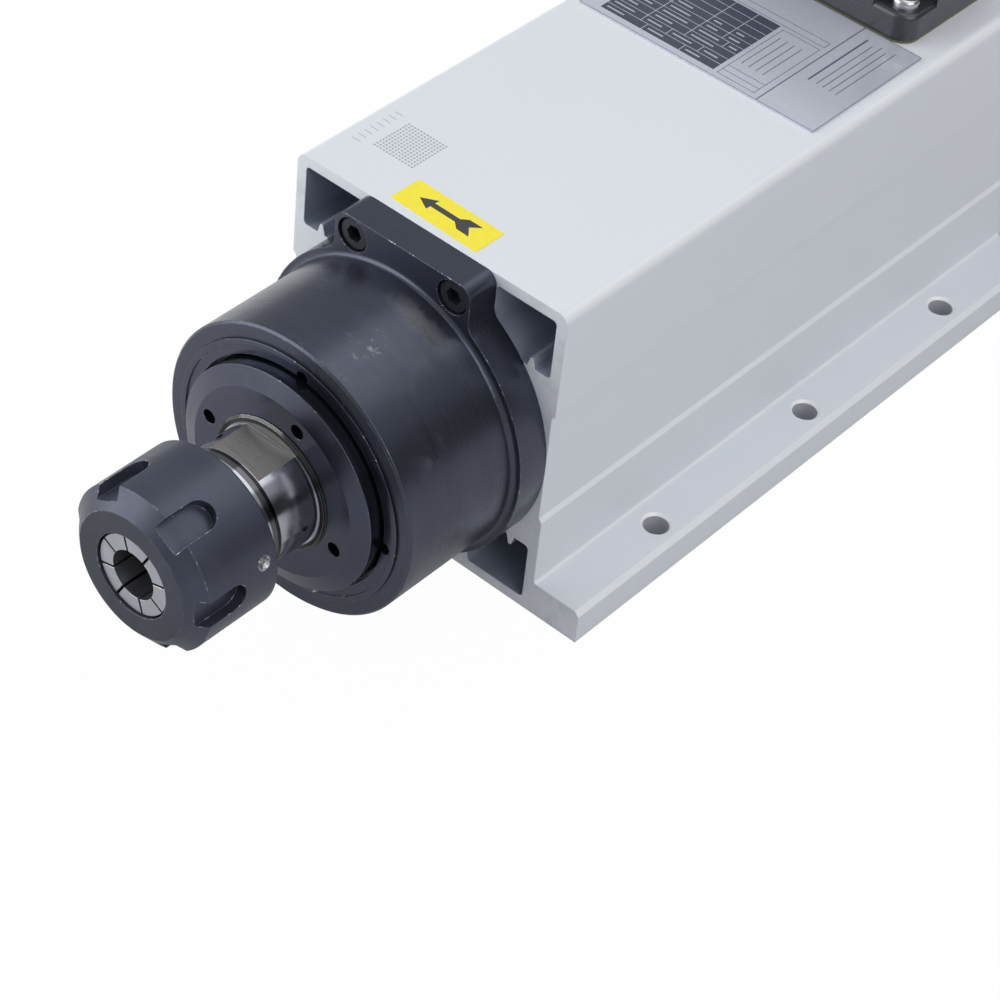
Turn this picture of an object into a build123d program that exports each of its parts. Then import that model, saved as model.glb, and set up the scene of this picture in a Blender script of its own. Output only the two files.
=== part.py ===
"""Square foot-mounted motor spindle with a collet nose.

Frame: +Z up, the spindle axis lies along Y with its nose towards -Y. The origin is the middle of
the foot hole pattern on the underside of the feet. All sizes are in millimetres.
"""
from build123d import *
from math import atan2, cos, radians, sin, sqrt, tan
import os

os.makedirs("parts", exist_ok=True)

# Extruded housing
body_width = 82.5
body_height = 92.0
body_length = 197.4
body_corner_r = 3.0
side_wall = 2.9
top_wall = 3.0
core_r = 39.0
core_bore_r = 35.5
channel_inner_x = 20.5
channel_floor = 26.3
channel_corner_r = 1.2
spike_x = 32.7
spike_width = 2.4
spike_tip_width = 0.8
spike_height = 2.8
recess_depth = 0.9
recess_half_height = 15.6
recess_bevel = 1.1
pilot_r = 36.5
pilot_depth = 10.0

# Feet
foot_width = 111.0
foot_thickness = 9.6
foot_chamfer = 1.3
foot_root_r = 1.0
foot_hole_edge = 6.9
foot_hole_pitch_y = 61.0
foot_hole_rows = 3
foot_hole_margin = 37.7
foot_hole_r = 3.3
foot_hole_rim = 0.7
foot_hole_bevel_angle = 90.0

# Clearances
running_clearance = 0.05
free_clearance = 0.3
thread_clearance = 0.03
hole_clearance = 0.25
pilot_clearance = 1.0
drill_allowance = 2.0
overcut = 1.0

# Front bearing housing
nose_r = 38.0
nose_length = 43.4
nose_chamfer = 0.5
nose_root_fillet = 1.2
flange_r = 40.3
flange_thickness = 9.0
lug_half_width = 20.6
lug_corner_r = 3.5
lug_root_r = 4.0
shoulder_bore_r = 26.5

# Housing screws, used at both ends
screw_x = 15.2
screw_inset = 4.9
screw_r = 2.5
screw_head_r = 4.25
screw_head_height = 5.0
screw_head_chamfer = 0.4
screw_socket_af = 4.0
screw_socket_depth = 2.5
screw_reach = 12.0
counterbore_r = 4.45
counterbore_depth = 5.6

# Retaining ring and labyrinth nut
ring_r = 34.0
ring_bore_r = 30.0
ring_depth = 7.4
ring_proud = 0.6
ring_step_r = 32.5
ring_step_depth = 0.4
ring_notch_r = 1.6
ring_notch_inset = 0.4
ring_notch_count = 4
ring_notch_depth = 3.0
ring_notch_angle = -5.6
labyrinth_r = 29.25
labyrinth_face_r = 24.6
labyrinth_front = 48.8
labyrinth_bevel = 1.75
labyrinth_thickness = 10.8
labyrinth_hole_count = 4
labyrinth_hole_pcd = 42.4
labyrinth_hole_r = 1.9
labyrinth_hole_depth = 4.0
labyrinth_hole_angle = -19.4

# Front bearings
front_bearing_bore_r = 17.5
front_bearing_r = 31.0
front_bearing_width = 14.0
front_bearing_spacer = 6.0
front_ball_r = 3.9
front_ball_count = 12

# Rear bearing and end shield
rear_bearing_bore_r = 12.5
rear_bearing_r = 23.5
rear_bearing_width = 12.0
rear_ball_r = 3.2
rear_ball_count = 9
rear_bearing_setback = 2.5
spring_gauge = 0.6
spring_free_height = 2.2
shield_thickness = 9.0
shield_boss_r = 29.0
shield_boss_length = 16.0
race_clearance = 0.15
race_land = 3.1
cage_thickness = 2.0
cage_margin = 1.6

# Shaft
shaft_neck_r = 15.5
shaft_flats = 27.0
flat_front = 61.2
collar_front = 49.5
collar_chamfer = 0.5
thread_r = 16.0
thread_chamfer = 1.0
shaft_nose = 84.0
thread_end = 69.0
shaft_shoulder_r = 20.5
shaft_shoulder_width = 8.0
shaft_waist_r = 17.0
rotor_seat_r = 15.0
shaft_tail_r = 10.0
fan_seat_r = 8.0
shaft_end_setback = 0.5
shaft_passage = 0.9
drawbore_r = 7.0
drawbore_end = 44.0
drawbore_tip = 3.5

# Motor
stator_start = 45.0
stator_length = 90.0
stator_bore_r = 22.0
slot_count = 18
slot_width = 4.0
slot_inner_r = 24.5
slot_outer_r = 31.0
slot_mouth = 1.8
end_turn_length = 14.0
end_turn_gap = 2.0
end_turn_inner_r = 24.0
end_turn_outer_r = 33.5
end_turn_corner_r = 3.0
air_gap = 0.4
end_ring_length = 7.0
end_ring_outer_r = 21.0

# Collet and nut
collet_bore_r = 6.35
collet_front = 91.7
collet_length = 34.0
collet_face_r = 10.3
collet_head_r = 13.0
collet_head_width = 1.1
collet_groove_r = 11.7
collet_groove_width = 1.5
collet_taper = 8.0
taper_relief = 1.0
collet_head_angle = 30.0
collet_slot_count = 8
collet_slot_width = 0.7
collet_slot_remainder = 8.0
collet_angle = 16.2
nut_r = 21.0
nut_front = 92.3
nut_back = 67.6
nut_opening_r = 10.8
nut_face_r = 16.3
nut_cone_r = 20.2
nut_cone_length = 3.4
nut_cone_edge = 0.6
nut_rim = 0.6
nut_slot_count = 6
nut_slot_width = 7.4
nut_slot_floor_r = 18.0
nut_slot_end = 77.8
nut_slot_angle = 1.0
nut_dimple_r = 2.0
nut_dimple_y = 72.0
nut_dimple_angle = 13.0
nut_lip = 0.3

# Fan and its cover
fan_start = 4.0
fan_width = 14.0
fan_r = 34.0
fan_hub_r = 12.0
fan_plate = 1.6
fan_blade_count = 9
fan_blade_thickness = 1.5
fan_blade_lean = 28.0
fan_blade_bow = 9.8
fan_blade_setback = 0.5
fan_screw_r = 2.5
fan_screw_head_r = 5.5
fan_screw_head_height = 3.0
fan_screw_length = 16.0
fan_washer_r = 8.5
fan_washer_thickness = 1.0
cover_depth = 36.0
cover_wall = 2.0
cover_back = 2.5
cover_post_r = 3.4
cover_post_x = 36.0
cover_post_z = 21.0
cover_screw_r = 2.0
cover_screw_head_r = 3.5
cover_screw_head_height = 2.2
cover_screw_reach = 7.0
grille_ring_count = 4
grille_centre_r = 7.0
grille_slot = 4.0
grille_bar = 2.6
grille_spokes = 6
grille_spoke_width = 3.0

# Junction box
box_start = 142.1
box_half_width = 31.0
box_length = 50.0
box_corner_r = 5.0
box_pad_height = 7.5
box_pad_edge_r = 1.6
box_height = 26.0
box_wall = 2.4
box_floor = 2.0
box_pocket = 11.5
box_pocket_r = 4.0
box_seal = 0.6
box_screw_inset = 5.6
box_screw_r = 2.0
box_screw_head_r = 3.6
box_screw_head_height = 2.6
box_screw_reach = 3.0
lid_thickness = 4.0
lid_seal = 0.8
lid_edge_r = 1.2
lid_screw_x = 25.5
lid_screw_y = 8.0
lid_screw_r = 1.5
lid_screw_head_r = 2.8
lid_screw_head_height = 1.8
lid_screw_reach = 8.0
lid_boss_r = 3.4
lead_hole_r = 6.0
lead_r = 1.2
lead_pitch = 4.2
lead_bend_r = 5.0
lead_count = 3
lead_end_inset = 4.0
terminal_width = 30.0
terminal_depth = 11.0
terminal_height = 10.0
terminal_count = 4
terminal_pitch = 7.0
terminal_rib = 1.4
terminal_wall = 2.2
terminal_screw_r = 2.0
terminal_screw_height = 2.0
terminal_recess = 2.5

# Cable gland
gland_height = 15.0
gland_thread_r = 7.8
gland_bore_r = 5.4
gland_flange_af = 19.0
gland_flange = 5.0
gland_neck = 7.0
gland_nut_af = 18.0
gland_nut_length = 12.0
gland_nut_bore_r = 6.0
gland_nut_edge_r = 2.0
gland_locknut = 3.0
gland_seal_inset = 0.5
gland_seal_bore_r = 4.2
gland_seal_length = 8.0

# Labels stuck on the top face
plate_width = 73.6
plate_length = 45.6
plate_thickness = 0.5
plate_start = 95.9
plate_corner_r = 1.0
sticker_width = 26.8
sticker_length = 9.8
sticker_thickness = 0.2
sticker_x = -1.5
sticker_y = 7.3

# Places worked out from the sizes above
axis_z = body_height / 2
screw_z = axis_z - screw_inset
foot_hole_pitch_x = foot_width - 2 * foot_hole_edge
front_y = -(foot_hole_margin + foot_hole_pitch_y * (foot_hole_rows - 1) / 2)
rear_y = front_y + body_length
box_y = front_y + box_start + box_length / 2
spin_axis = Axis((0, 0, axis_z), (0, 1, 0))


def across(y):
    """Plane across the spindle axis at y; its normal points to the nose."""
    return Plane(origin=(0, y, axis_z), x_dir=(1, 0, 0), z_dir=(0, -1, 0))


def meridian(*points):
    """Closed outline of (radius, y) points in the plane through the spindle axis."""
    with BuildSketch(Plane.XY.offset(axis_z)) as half_section:
        with BuildLine():
            Polyline(*points, close=True)
        make_face()
    return half_section.sketch


def tube(inner_r, outer_r, start, end):
    """Outline of a plain ring between two y stations."""
    return meridian((inner_r, start), (outer_r, start), (outer_r, end), (inner_r, end))


def polar(radius, angle):
    """Point at a radius and an angle, in degrees, from the spindle axis."""
    return (radius * cos(radians(angle)), radius * sin(radians(angle)))


def radial_plane(radius, y, angle):
    """Plane facing outwards at a radius, with its local X along the spindle axis."""
    x, z = polar(radius, angle)
    out_x, out_z = polar(1, angle)
    return Plane(origin=(x, y, axis_z + z), x_dir=(0, 1, 0), z_dir=(out_x, 0, out_z))


def corner_channels(spikes):
    """The four open corners between the round core and the square outer walls."""
    outer_x = body_width / 2 - side_wall
    top = body_height / 2 - top_wall
    floor_x = sqrt(core_r**2 - channel_floor**2)
    core_top = sqrt(core_r**2 - channel_inner_x**2)
    middle = (atan2(channel_floor, floor_x) + atan2(core_top, channel_inner_x)) / 2
    with BuildSketch() as channels:
        with BuildLine():
            ThreePointArc(
                (floor_x, channel_floor),
                (core_r * cos(middle), core_r * sin(middle)),
                (channel_inner_x, core_top),
            )
            Polyline(
                (channel_inner_x, core_top),
                (channel_inner_x, top),
                (outer_x, top),
                (outer_x, channel_floor),
                (floor_x, channel_floor),
            )
        make_face()
        corners = channels.vertices().filter_by(lambda v: v.X > channel_inner_x - 0.01 and
                                                (v.X > outer_x - 0.01 or v.Y > top - 0.01))
        fillet(corners, channel_corner_r)
        if spikes:
            with BuildLine():
                Polyline(
                    (spike_x - spike_width / 2, channel_floor - 0.01),
                    (spike_x - spike_tip_width / 2, channel_floor + spike_height),
                    (spike_x + spike_tip_width / 2, channel_floor + spike_height),
                    (spike_x + spike_width / 2, channel_floor - 0.01),
                    close=True,
                )
            make_face(mode=Mode.SUBTRACT)
        mirror(about=Plane.YZ)
        mirror(about=Plane.XZ)
    return channels.sketch


def bearing_races(start, width, bore_r, outer_r, ball_r):
    """Inner and outer ring outlines of a ball bearing, with open grooves for its balls."""
    pitch_r = (bore_r + outer_r) / 2
    centre = start + width / 2
    inner_land = pitch_r - race_land
    outer_land = pitch_r + race_land
    with BuildSketch(Plane.XY.offset(axis_z)) as inner:
        with Locations(((bore_r + inner_land) / 2, centre)):
            Rectangle(inner_land - bore_r, width)
        with Locations((pitch_r, centre)):
            Circle(ball_r + race_clearance, mode=Mode.SUBTRACT)
    with BuildSketch(Plane.XY.offset(axis_z)) as outer:
        with Locations(((outer_r + outer_land) / 2, centre)):
            Rectangle(outer_r - outer_land, width)
        with Locations((pitch_r, centre)):
            Circle(ball_r + race_clearance, mode=Mode.SUBTRACT)
    return inner.sketch, outer.sketch


def ball_places(start, width, bore_r, outer_r, count):
    """Centres of the balls of one bearing."""
    pitch_r = (bore_r + outer_r) / 2
    places = []
    for index in range(count):
        x, z = polar(pitch_r, 360 * index / count)
        places.append((x, start + width / 2, axis_z + z))
    return places


def pocket_places(start, width, count):
    """Planes on the spindle axis that face each ball, for the cage's round pockets."""
    return [radial_plane(0, start + width / 2, 360 * index / count) for index in range(count)]


def cage_outline(start, width, bore_r, outer_r):
    """Outline of the cage that spaces the balls of one bearing."""
    pitch_r = (bore_r + outer_r) / 2
    return tube(pitch_r - cage_thickness / 2, pitch_r + cage_thickness / 2,
                start + cage_margin, start + width - cage_margin)


# Housing: round core in a square shell with four open corners, and a foot along each side
with BuildPart() as housing_extrusion:
    with BuildSketch(across(front_y)) as section:
        Rectangle(body_width, body_height)
        fillet(section.vertices(), body_corner_r)
        with Locations((0, (foot_thickness - body_height) / 2)):
            Rectangle(foot_width, foot_thickness)
        foot_edges = section.vertices().filter_by(lambda v: abs(v.X) > foot_width / 2 - 0.01)
        chamfer(foot_edges.group_by(Axis.Y)[-1], foot_chamfer)
        foot_roots = section.vertices().filter_by(
            lambda v: abs(abs(v.X) - body_width / 2) < 0.01 and v.Y < foot_thickness - axis_z + 0.01)
        fillet(foot_roots, foot_root_r)
        add(corner_channels(spikes=True), mode=Mode.SUBTRACT)
        Circle(core_bore_r, mode=Mode.SUBTRACT)
        for side in (-1, 1):
            with BuildLine():
                Polyline(
                    (side * (body_width / 2 + overcut), recess_half_height + recess_bevel),
                    (side * body_width / 2, recess_half_height + recess_bevel),
                    (side * (body_width / 2 - recess_depth), recess_half_height),
                    (side * (body_width / 2 - recess_depth), -recess_half_height),
                    (side * body_width / 2, -recess_half_height - recess_bevel),
                    (side * (body_width / 2 + overcut), -recess_half_height - recess_bevel),
                    close=True,
                )
            make_face(mode=Mode.SUBTRACT)
    extrude(amount=-body_length)
    for end, direction in ((front_y, -1), (rear_y, 1)):
        with BuildSketch(across(end)):
            Circle(pilot_r)
        extrude(amount=direction * pilot_depth, mode=Mode.SUBTRACT)
    with BuildSketch(across(front_y)):
        with GridLocations(2 * screw_x, 2 * screw_z, 2, 1):
            with Locations((0, screw_z)):
                Circle(screw_r + thread_clearance)
    extrude(amount=-(screw_reach + drill_allowance), mode=Mode.SUBTRACT)
    with BuildSketch(across(rear_y)):
        with GridLocations(2 * screw_x, 2 * screw_z, 2, 2):
            Circle(screw_r + thread_clearance)
    extrude(amount=screw_reach + drill_allowance, mode=Mode.SUBTRACT)
    with Locations(Plane.XY.offset(foot_thickness)):
        with GridLocations(foot_hole_pitch_x, foot_hole_pitch_y, 2, foot_hole_rows):
            CounterSinkHole(foot_hole_r, foot_hole_r + foot_hole_rim, foot_thickness,
                            counter_sink_angle=foot_hole_bevel_angle)
    with BuildSketch(Plane.XY.offset(body_height)):
        with Locations((0, box_y)):
            Circle(lead_hole_r)
    extrude(amount=-(body_height / 2 - core_bore_r + overcut), mode=Mode.SUBTRACT)
    with BuildSketch(Plane.XY.offset(body_height)):
        with Locations((0, box_y)):
            with GridLocations(2 * (box_half_width - box_screw_inset),
                               box_length - 2 * box_screw_inset, 2, 2):
                Circle(box_screw_r + thread_clearance)
    extrude(amount=-box_screw_reach, mode=Mode.SUBTRACT)
housing_extrusion.part.label = "housing_extrusion"
export_step(housing_extrusion.part, "parts/housing_extrusion.step")

# Front bearing housing: turned nose, thin flange and a square-cut lug on top
land_y = front_y - nose_length
ring_back_y = land_y + ring_depth
front_stack = 2 * front_bearing_width + front_bearing_spacer
front_stack_end_y = ring_back_y + front_stack

with BuildPart() as front_bearing_housing:
    with BuildSketch(across(front_y)) as flange:
        Circle(flange_r)
        with Locations((0, body_height / 4)):
            Rectangle(2 * lug_half_width, body_height / 2)
        lug_roots = flange.vertices().filter_by(
            lambda v: abs(abs(v.X) - lug_half_width) < 0.01 and v.Y < body_height / 2 - lug_corner_r)
        fillet(lug_roots, lug_root_r)
        fillet(flange.vertices().group_by(Axis.Y)[-1], lug_corner_r)
    extrude(amount=flange_thickness)
    revolve(
        meridian(
            (0, land_y),
            (nose_r - nose_chamfer, land_y),
            (nose_r, land_y + nose_chamfer),
            (nose_r, front_y - flange_thickness),
            (pilot_r - thread_clearance, front_y - flange_thickness),
            (pilot_r - thread_clearance, front_y + pilot_depth - pilot_clearance),
            (0, front_y + pilot_depth - pilot_clearance),
        ),
        axis=spin_axis,
    )
    root_edge = front_bearing_housing.edges().filter_by(GeomType.CIRCLE).filter_by(
        lambda e: abs(e.radius - nose_r) < 0.01 and abs(e.center().Y - front_y + flange_thickness) < 0.01)
    fillet(root_edge, nose_root_fillet)
    revolve(
        meridian(
            (0, land_y - overcut),
            (ring_r, land_y - overcut),
            (ring_r, ring_back_y),
            (front_bearing_r, ring_back_y),
            (front_bearing_r, front_stack_end_y),
            (shoulder_bore_r, front_stack_end_y),
            (shoulder_bore_r, front_y + pilot_depth),
            (0, front_y + pilot_depth),
        ),
        axis=spin_axis,
        mode=Mode.SUBTRACT,
    )
    with Locations(across(front_y - flange_thickness)):
        with Locations((-screw_x, screw_z), (screw_x, screw_z)):
            CounterBoreHole(screw_r + hole_clearance, counterbore_r, counterbore_depth,
                            flange_thickness)
front_bearing_housing.part.label = "front_bearing_housing"
export_step(front_bearing_housing.part, "parts/front_bearing_housing.step")


# Two socket head screws hold the lug of the front bearing housing
front_seat_y = front_y - flange_thickness + counterbore_depth
with BuildPart() as front_housing_screws:
    with BuildSketch(across(front_seat_y)):
        with Locations((-screw_x, screw_z), (screw_x, screw_z)):
            Circle(screw_head_r)
    extrude(amount=screw_head_height)
    chamfer(front_housing_screws.faces().sort_by(Axis.Y)[:2].edges(), screw_head_chamfer)
    with BuildSketch(across(front_seat_y)):
        with Locations((-screw_x, screw_z), (screw_x, screw_z)):
            Circle(screw_r)
    extrude(amount=-(front_y - front_seat_y + screw_reach))
    with BuildSketch(across(front_seat_y - screw_head_height)):
        with Locations((-screw_x, screw_z), (screw_x, screw_z)):
            RegularPolygon(screw_socket_af / 2, 6, major_radius=False)
    extrude(amount=-screw_socket_depth, mode=Mode.SUBTRACT)
front_housing_screws.part.label = "front_housing_screws"
export_step(front_housing_screws.part, "parts/front_housing_screws.step")

# Threaded retaining ring around the labyrinth nut
with BuildPart() as front_retaining_ring:
    revolve(
        meridian(
            (ring_bore_r, land_y - ring_proud + ring_step_depth),
            (ring_step_r, land_y - ring_proud + ring_step_depth),
            (ring_step_r, land_y - ring_proud),
            (ring_r - thread_clearance, land_y - ring_proud),
            (ring_r - thread_clearance, ring_back_y),
            (ring_bore_r, ring_back_y),
        ),
        axis=spin_axis,
    )
    with BuildSketch(across(land_y - ring_proud)):
        with Locations(*[polar(ring_bore_r + ring_notch_inset, ring_notch_angle + 360 * k / ring_notch_count)
                         for k in range(ring_notch_count)]):
            Circle(ring_notch_r)
    extrude(amount=-ring_notch_depth, mode=Mode.SUBTRACT)
front_retaining_ring.part.label = "front_retaining_ring"
export_step(front_retaining_ring.part, "parts/front_retaining_ring.step")

# Front bearings: a spaced pair
front_bearing_starts = (ring_back_y, ring_back_y + front_bearing_width + front_bearing_spacer)
front_spacer_start = ring_back_y + front_bearing_width
front_pitch_r = (front_bearing_bore_r + front_bearing_r) / 2
front_race_sections = [
    bearing_races(start, front_bearing_width, front_bearing_bore_r, front_bearing_r, front_ball_r)
    for start in front_bearing_starts
]
with BuildPart() as front_bearing_inner_rings:
    for inner_section, _ in front_race_sections:
        revolve(inner_section, axis=spin_axis)
front_bearing_inner_rings.part.label = "front_bearing_inner_rings"
export_step(front_bearing_inner_rings.part, "parts/front_bearing_inner_rings.step")

with BuildPart() as front_bearing_outer_rings:
    for _, outer_section in front_race_sections:
        revolve(outer_section, axis=spin_axis)
front_bearing_outer_rings.part.label = "front_bearing_outer_rings"
export_step(front_bearing_outer_rings.part, "parts/front_bearing_outer_rings.step")

with BuildPart() as front_bearing_balls:
    for start in front_bearing_starts:
        with Locations(*ball_places(start, front_bearing_width, front_bearing_bore_r,
                                    front_bearing_r, front_ball_count)):
            Sphere(front_ball_r)
front_bearing_balls.part.label = "front_bearing_balls"
export_step(front_bearing_balls.part, "parts/front_bearing_balls.step")

with BuildPart() as front_bearing_cages:
    for start in front_bearing_starts:
        revolve(cage_outline(start, front_bearing_width, front_bearing_bore_r, front_bearing_r),
                axis=spin_axis)
        with Locations(*pocket_places(start, front_bearing_width, front_ball_count)):
            Cylinder(front_ball_r + running_clearance, front_bearing_r,
                     align=(Align.CENTER, Align.CENTER, Align.MIN), mode=Mode.SUBTRACT)
front_bearing_cages.part.label = "front_bearing_cages"
export_step(front_bearing_cages.part, "parts/front_bearing_cages.step")

with BuildPart() as front_inner_spacer:
    revolve(tube(front_bearing_bore_r, front_pitch_r - race_land, front_spacer_start,
                 front_spacer_start + front_bearing_spacer), axis=spin_axis)
front_inner_spacer.part.label = "front_inner_spacer"
export_step(front_inner_spacer.part, "parts/front_inner_spacer.step")

with BuildPart() as front_outer_spacer:
    revolve(tube(front_pitch_r + race_land, front_bearing_r, front_spacer_start,
                 front_spacer_start + front_bearing_spacer), axis=spin_axis)
front_outer_spacer.part.label = "front_outer_spacer"
export_step(front_outer_spacer.part, "parts/front_outer_spacer.step")

# Labyrinth nut: clamps the inner rings and keeps chips out
labyrinth_front_y = front_y - labyrinth_front
with BuildPart() as labyrinth_nut:
    revolve(
        meridian(
            (front_bearing_bore_r, labyrinth_front_y),
            (labyrinth_face_r, labyrinth_front_y),
            (labyrinth_r, labyrinth_front_y + labyrinth_bevel),
            (labyrinth_r, labyrinth_front_y + labyrinth_thickness),
            (front_pitch_r - race_land, labyrinth_front_y + labyrinth_thickness),
            (front_pitch_r - race_land, ring_back_y),
            (front_bearing_bore_r, ring_back_y),
        ),
        axis=spin_axis,
    )
    with BuildSketch(across(labyrinth_front_y)):
        with Locations(*[polar(labyrinth_hole_pcd / 2, labyrinth_hole_angle + 360 * k / labyrinth_hole_count)
                         for k in range(labyrinth_hole_count)]):
            Circle(labyrinth_hole_r)
    extrude(amount=-labyrinth_hole_depth, mode=Mode.SUBTRACT)
labyrinth_nut.part.label = "labyrinth_nut"
export_step(labyrinth_nut.part, "parts/labyrinth_nut.step")

# Collet seat, shared by the collet, the nut and the shaft's taper bore
collet_front_y = front_y - collet_front
collet_back_y = collet_front_y + collet_length
head_start_y = collet_front_y + (collet_head_r - collet_face_r) / tan(radians(collet_head_angle))
groove_start_y = head_start_y + collet_head_width
taper_start_y = groove_start_y + collet_groove_width
taper_slope = tan(radians(collet_taper))


def taper_r(y, clearance=0.0):
    """Radius of the collet's long taper at a y station."""
    return collet_head_r - (y - taper_start_y) * taper_slope + clearance


# Shaft, from the threaded nose to the fan seat
shaft_nose_y = front_y - shaft_nose
thread_end_y = front_y - thread_end
taper_end_y = collet_back_y + taper_relief
collar_y = front_y - collar_front
rear_bearing_start = rear_y - rear_bearing_setback - rear_bearing_width
rear_bearing_end = rear_y - rear_bearing_setback
fan_start_y = rear_y + shield_thickness + fan_start
fan_end_y = fan_start_y + fan_width
shaft_end_y = fan_end_y - shaft_end_setback
stator_start_y = front_y + stator_start
stator_end_y = stator_start_y + stator_length
seat_start_y = stator_start_y - end_ring_length

with BuildPart() as spindle_shaft:
    revolve(
        meridian(
            (0, shaft_nose_y),
            (thread_r - thread_chamfer, shaft_nose_y),
            (thread_r, shaft_nose_y + thread_chamfer),
            (thread_r, thread_end_y),
            (shaft_neck_r, thread_end_y + (thread_r - shaft_neck_r)),
            (shaft_neck_r, collar_y),
            (front_bearing_bore_r - collar_chamfer, collar_y),
            (front_bearing_bore_r, collar_y + collar_chamfer),
            (front_bearing_bore_r, front_stack_end_y),
            (shaft_shoulder_r, front_stack_end_y),
            (shaft_shoulder_r, front_stack_end_y + shaft_shoulder_width),
            (shaft_waist_r, front_stack_end_y + shaft_shoulder_width),
            (shaft_waist_r, seat_start_y),
            (rotor_seat_r, seat_start_y),
            (rotor_seat_r, rear_bearing_start),
            (rear_bearing_bore_r, rear_bearing_start),
            (rear_bearing_bore_r, rear_bearing_end),
            (shaft_tail_r, rear_bearing_end),
            (shaft_tail_r, fan_start_y),
            (fan_seat_r, fan_start_y),
            (fan_seat_r, shaft_end_y),
            (0, shaft_end_y),
        ),
        axis=spin_axis,
    )
    revolve(
        meridian(
            (0, shaft_nose_y - overcut),
            (taper_r(shaft_nose_y - overcut, running_clearance), shaft_nose_y - overcut),
            (taper_r(taper_end_y, running_clearance), taper_end_y),
            (drawbore_r, taper_end_y),
            (drawbore_r, front_y - drawbore_end),
            (0, front_y - drawbore_end + drawbore_tip),
        ),
        axis=spin_axis,
        mode=Mode.SUBTRACT,
    )
    with BuildSketch(across(front_y - flat_front)):
        with Locations((0, (shaft_flats + shaft_neck_r) / 2), (0, -(shaft_flats + shaft_neck_r) / 2)):
            Rectangle(2 * shaft_neck_r, shaft_neck_r)
    extrude(amount=-(flat_front - collar_front), mode=Mode.SUBTRACT)
    with Locations(Plane(origin=(0, shaft_end_y, axis_z), z_dir=(0, 1, 0))):
        Hole(fan_screw_r + thread_clearance, fan_screw_length)
spindle_shaft.part.label = "spindle_shaft"
export_step(spindle_shaft.part, "parts/spindle_shaft.step")

# Collet: eight slots from each end, so that its fingers close on the tool shank
with BuildPart() as collet:
    revolve(
        meridian(
            (collet_bore_r, collet_front_y),
            (collet_face_r, collet_front_y),
            (collet_head_r, head_start_y),
            (collet_head_r, groove_start_y),
            (collet_groove_r, groove_start_y),
            (collet_groove_r, taper_start_y),
            (taper_r(taper_start_y), taper_start_y),
            (taper_r(collet_back_y), collet_back_y),
            (collet_bore_r, collet_back_y),
        ),
        axis=spin_axis,
    )
    slot_length = collet_length - collet_slot_remainder
    half_step = 180 / collet_slot_count
    for end_y, way, turn in ((collet_front_y, -1, 0), (collet_back_y, 1, half_step)):
        with BuildSketch(across(end_y)):
            for index in range(collet_slot_count // 2):
                with Locations(Rotation(0, 0, collet_angle + turn + index * 2 * half_step)):
                    Rectangle(2 * (collet_head_r + overcut), collet_slot_width)
        extrude(amount=way * slot_length, mode=Mode.SUBTRACT)
collet.part.label = "collet"
export_step(collet.part, "parts/collet.step")

# Collet nut with six spanner slots and one balancing dimple
nut_front_y = front_y - nut_front
nut_back_y = front_y - nut_back
nut_cone_end_y = nut_front_y + nut_cone_length
head_slope = tan(radians(collet_head_angle))
mouth_y = collet_front_y + (nut_opening_r - collet_face_r - 2 * running_clearance) / head_slope
nut_head_r = collet_head_r + 2 * running_clearance
lip_r = collet_groove_r + nut_lip
lip_start_y = groove_start_y + 2 * running_clearance
lip_end_y = taper_start_y - 2 * running_clearance
nut_thread_r = thread_r + running_clearance
with BuildPart() as collet_nut:
    revolve(
        meridian(
            (nut_opening_r, nut_front_y),
            (nut_face_r, nut_front_y),
            (nut_cone_r, nut_cone_end_y - nut_cone_edge / 2),
            (nut_r, nut_cone_end_y + nut_cone_edge / 2),
            (nut_r, nut_back_y - nut_rim),
            (nut_r - nut_rim, nut_back_y),
            (nut_thread_r + nut_rim, nut_back_y),
            (nut_thread_r, nut_back_y - nut_rim),
            (nut_thread_r, lip_end_y),
            (lip_r, lip_end_y),
            (lip_r, lip_start_y),
            (nut_head_r, lip_start_y),
            (nut_head_r, head_start_y),
            (nut_opening_r, mouth_y),
        ),
        axis=spin_axis,
    )
    slot_planes = [
        radial_plane(nut_slot_floor_r, nut_front_y, nut_slot_angle + 360 * k / nut_slot_count)
        for k in range(nut_slot_count)
    ]
    straight = nut_front - nut_slot_end - nut_slot_width / 2
    with BuildSketch(*slot_planes):
        with Locations(((straight - overcut) / 2, 0)):
            Rectangle(straight + overcut, nut_slot_width)
        with Locations((straight, 0)):
            Circle(nut_slot_width / 2)
    extrude(amount=nut_r, mode=Mode.SUBTRACT)
    dimple = radial_plane(nut_r - nut_dimple_r, front_y - nut_dimple_y, nut_dimple_angle)
    with Locations(dimple):
        Cone(0, 2 * nut_dimple_r, 2 * nut_dimple_r, align=(Align.CENTER, Align.CENTER, Align.MIN),
             mode=Mode.SUBTRACT)
collet_nut.part.label = "collet_nut"
export_step(collet_nut.part, "parts/collet_nut.step")

# Stator: slotted core pressed in the housing, with its winding
slot_pitch = 360 / slot_count
with BuildPart() as stator_core:
    with BuildSketch(across(stator_start_y)):
        Circle(core_bore_r)
        Circle(stator_bore_r, mode=Mode.SUBTRACT)
        with PolarLocations((slot_inner_r + slot_outer_r) / 2, slot_count):
            Rectangle(slot_outer_r - slot_inner_r, slot_width, mode=Mode.SUBTRACT)
        with PolarLocations((stator_bore_r + slot_inner_r) / 2, slot_count):
            Rectangle(slot_inner_r - stator_bore_r + overcut, slot_mouth, mode=Mode.SUBTRACT)
    extrude(amount=-stator_length)
stator_core.part.label = "stator_core"
export_step(stator_core.part, "parts/stator_core.step")

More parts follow.
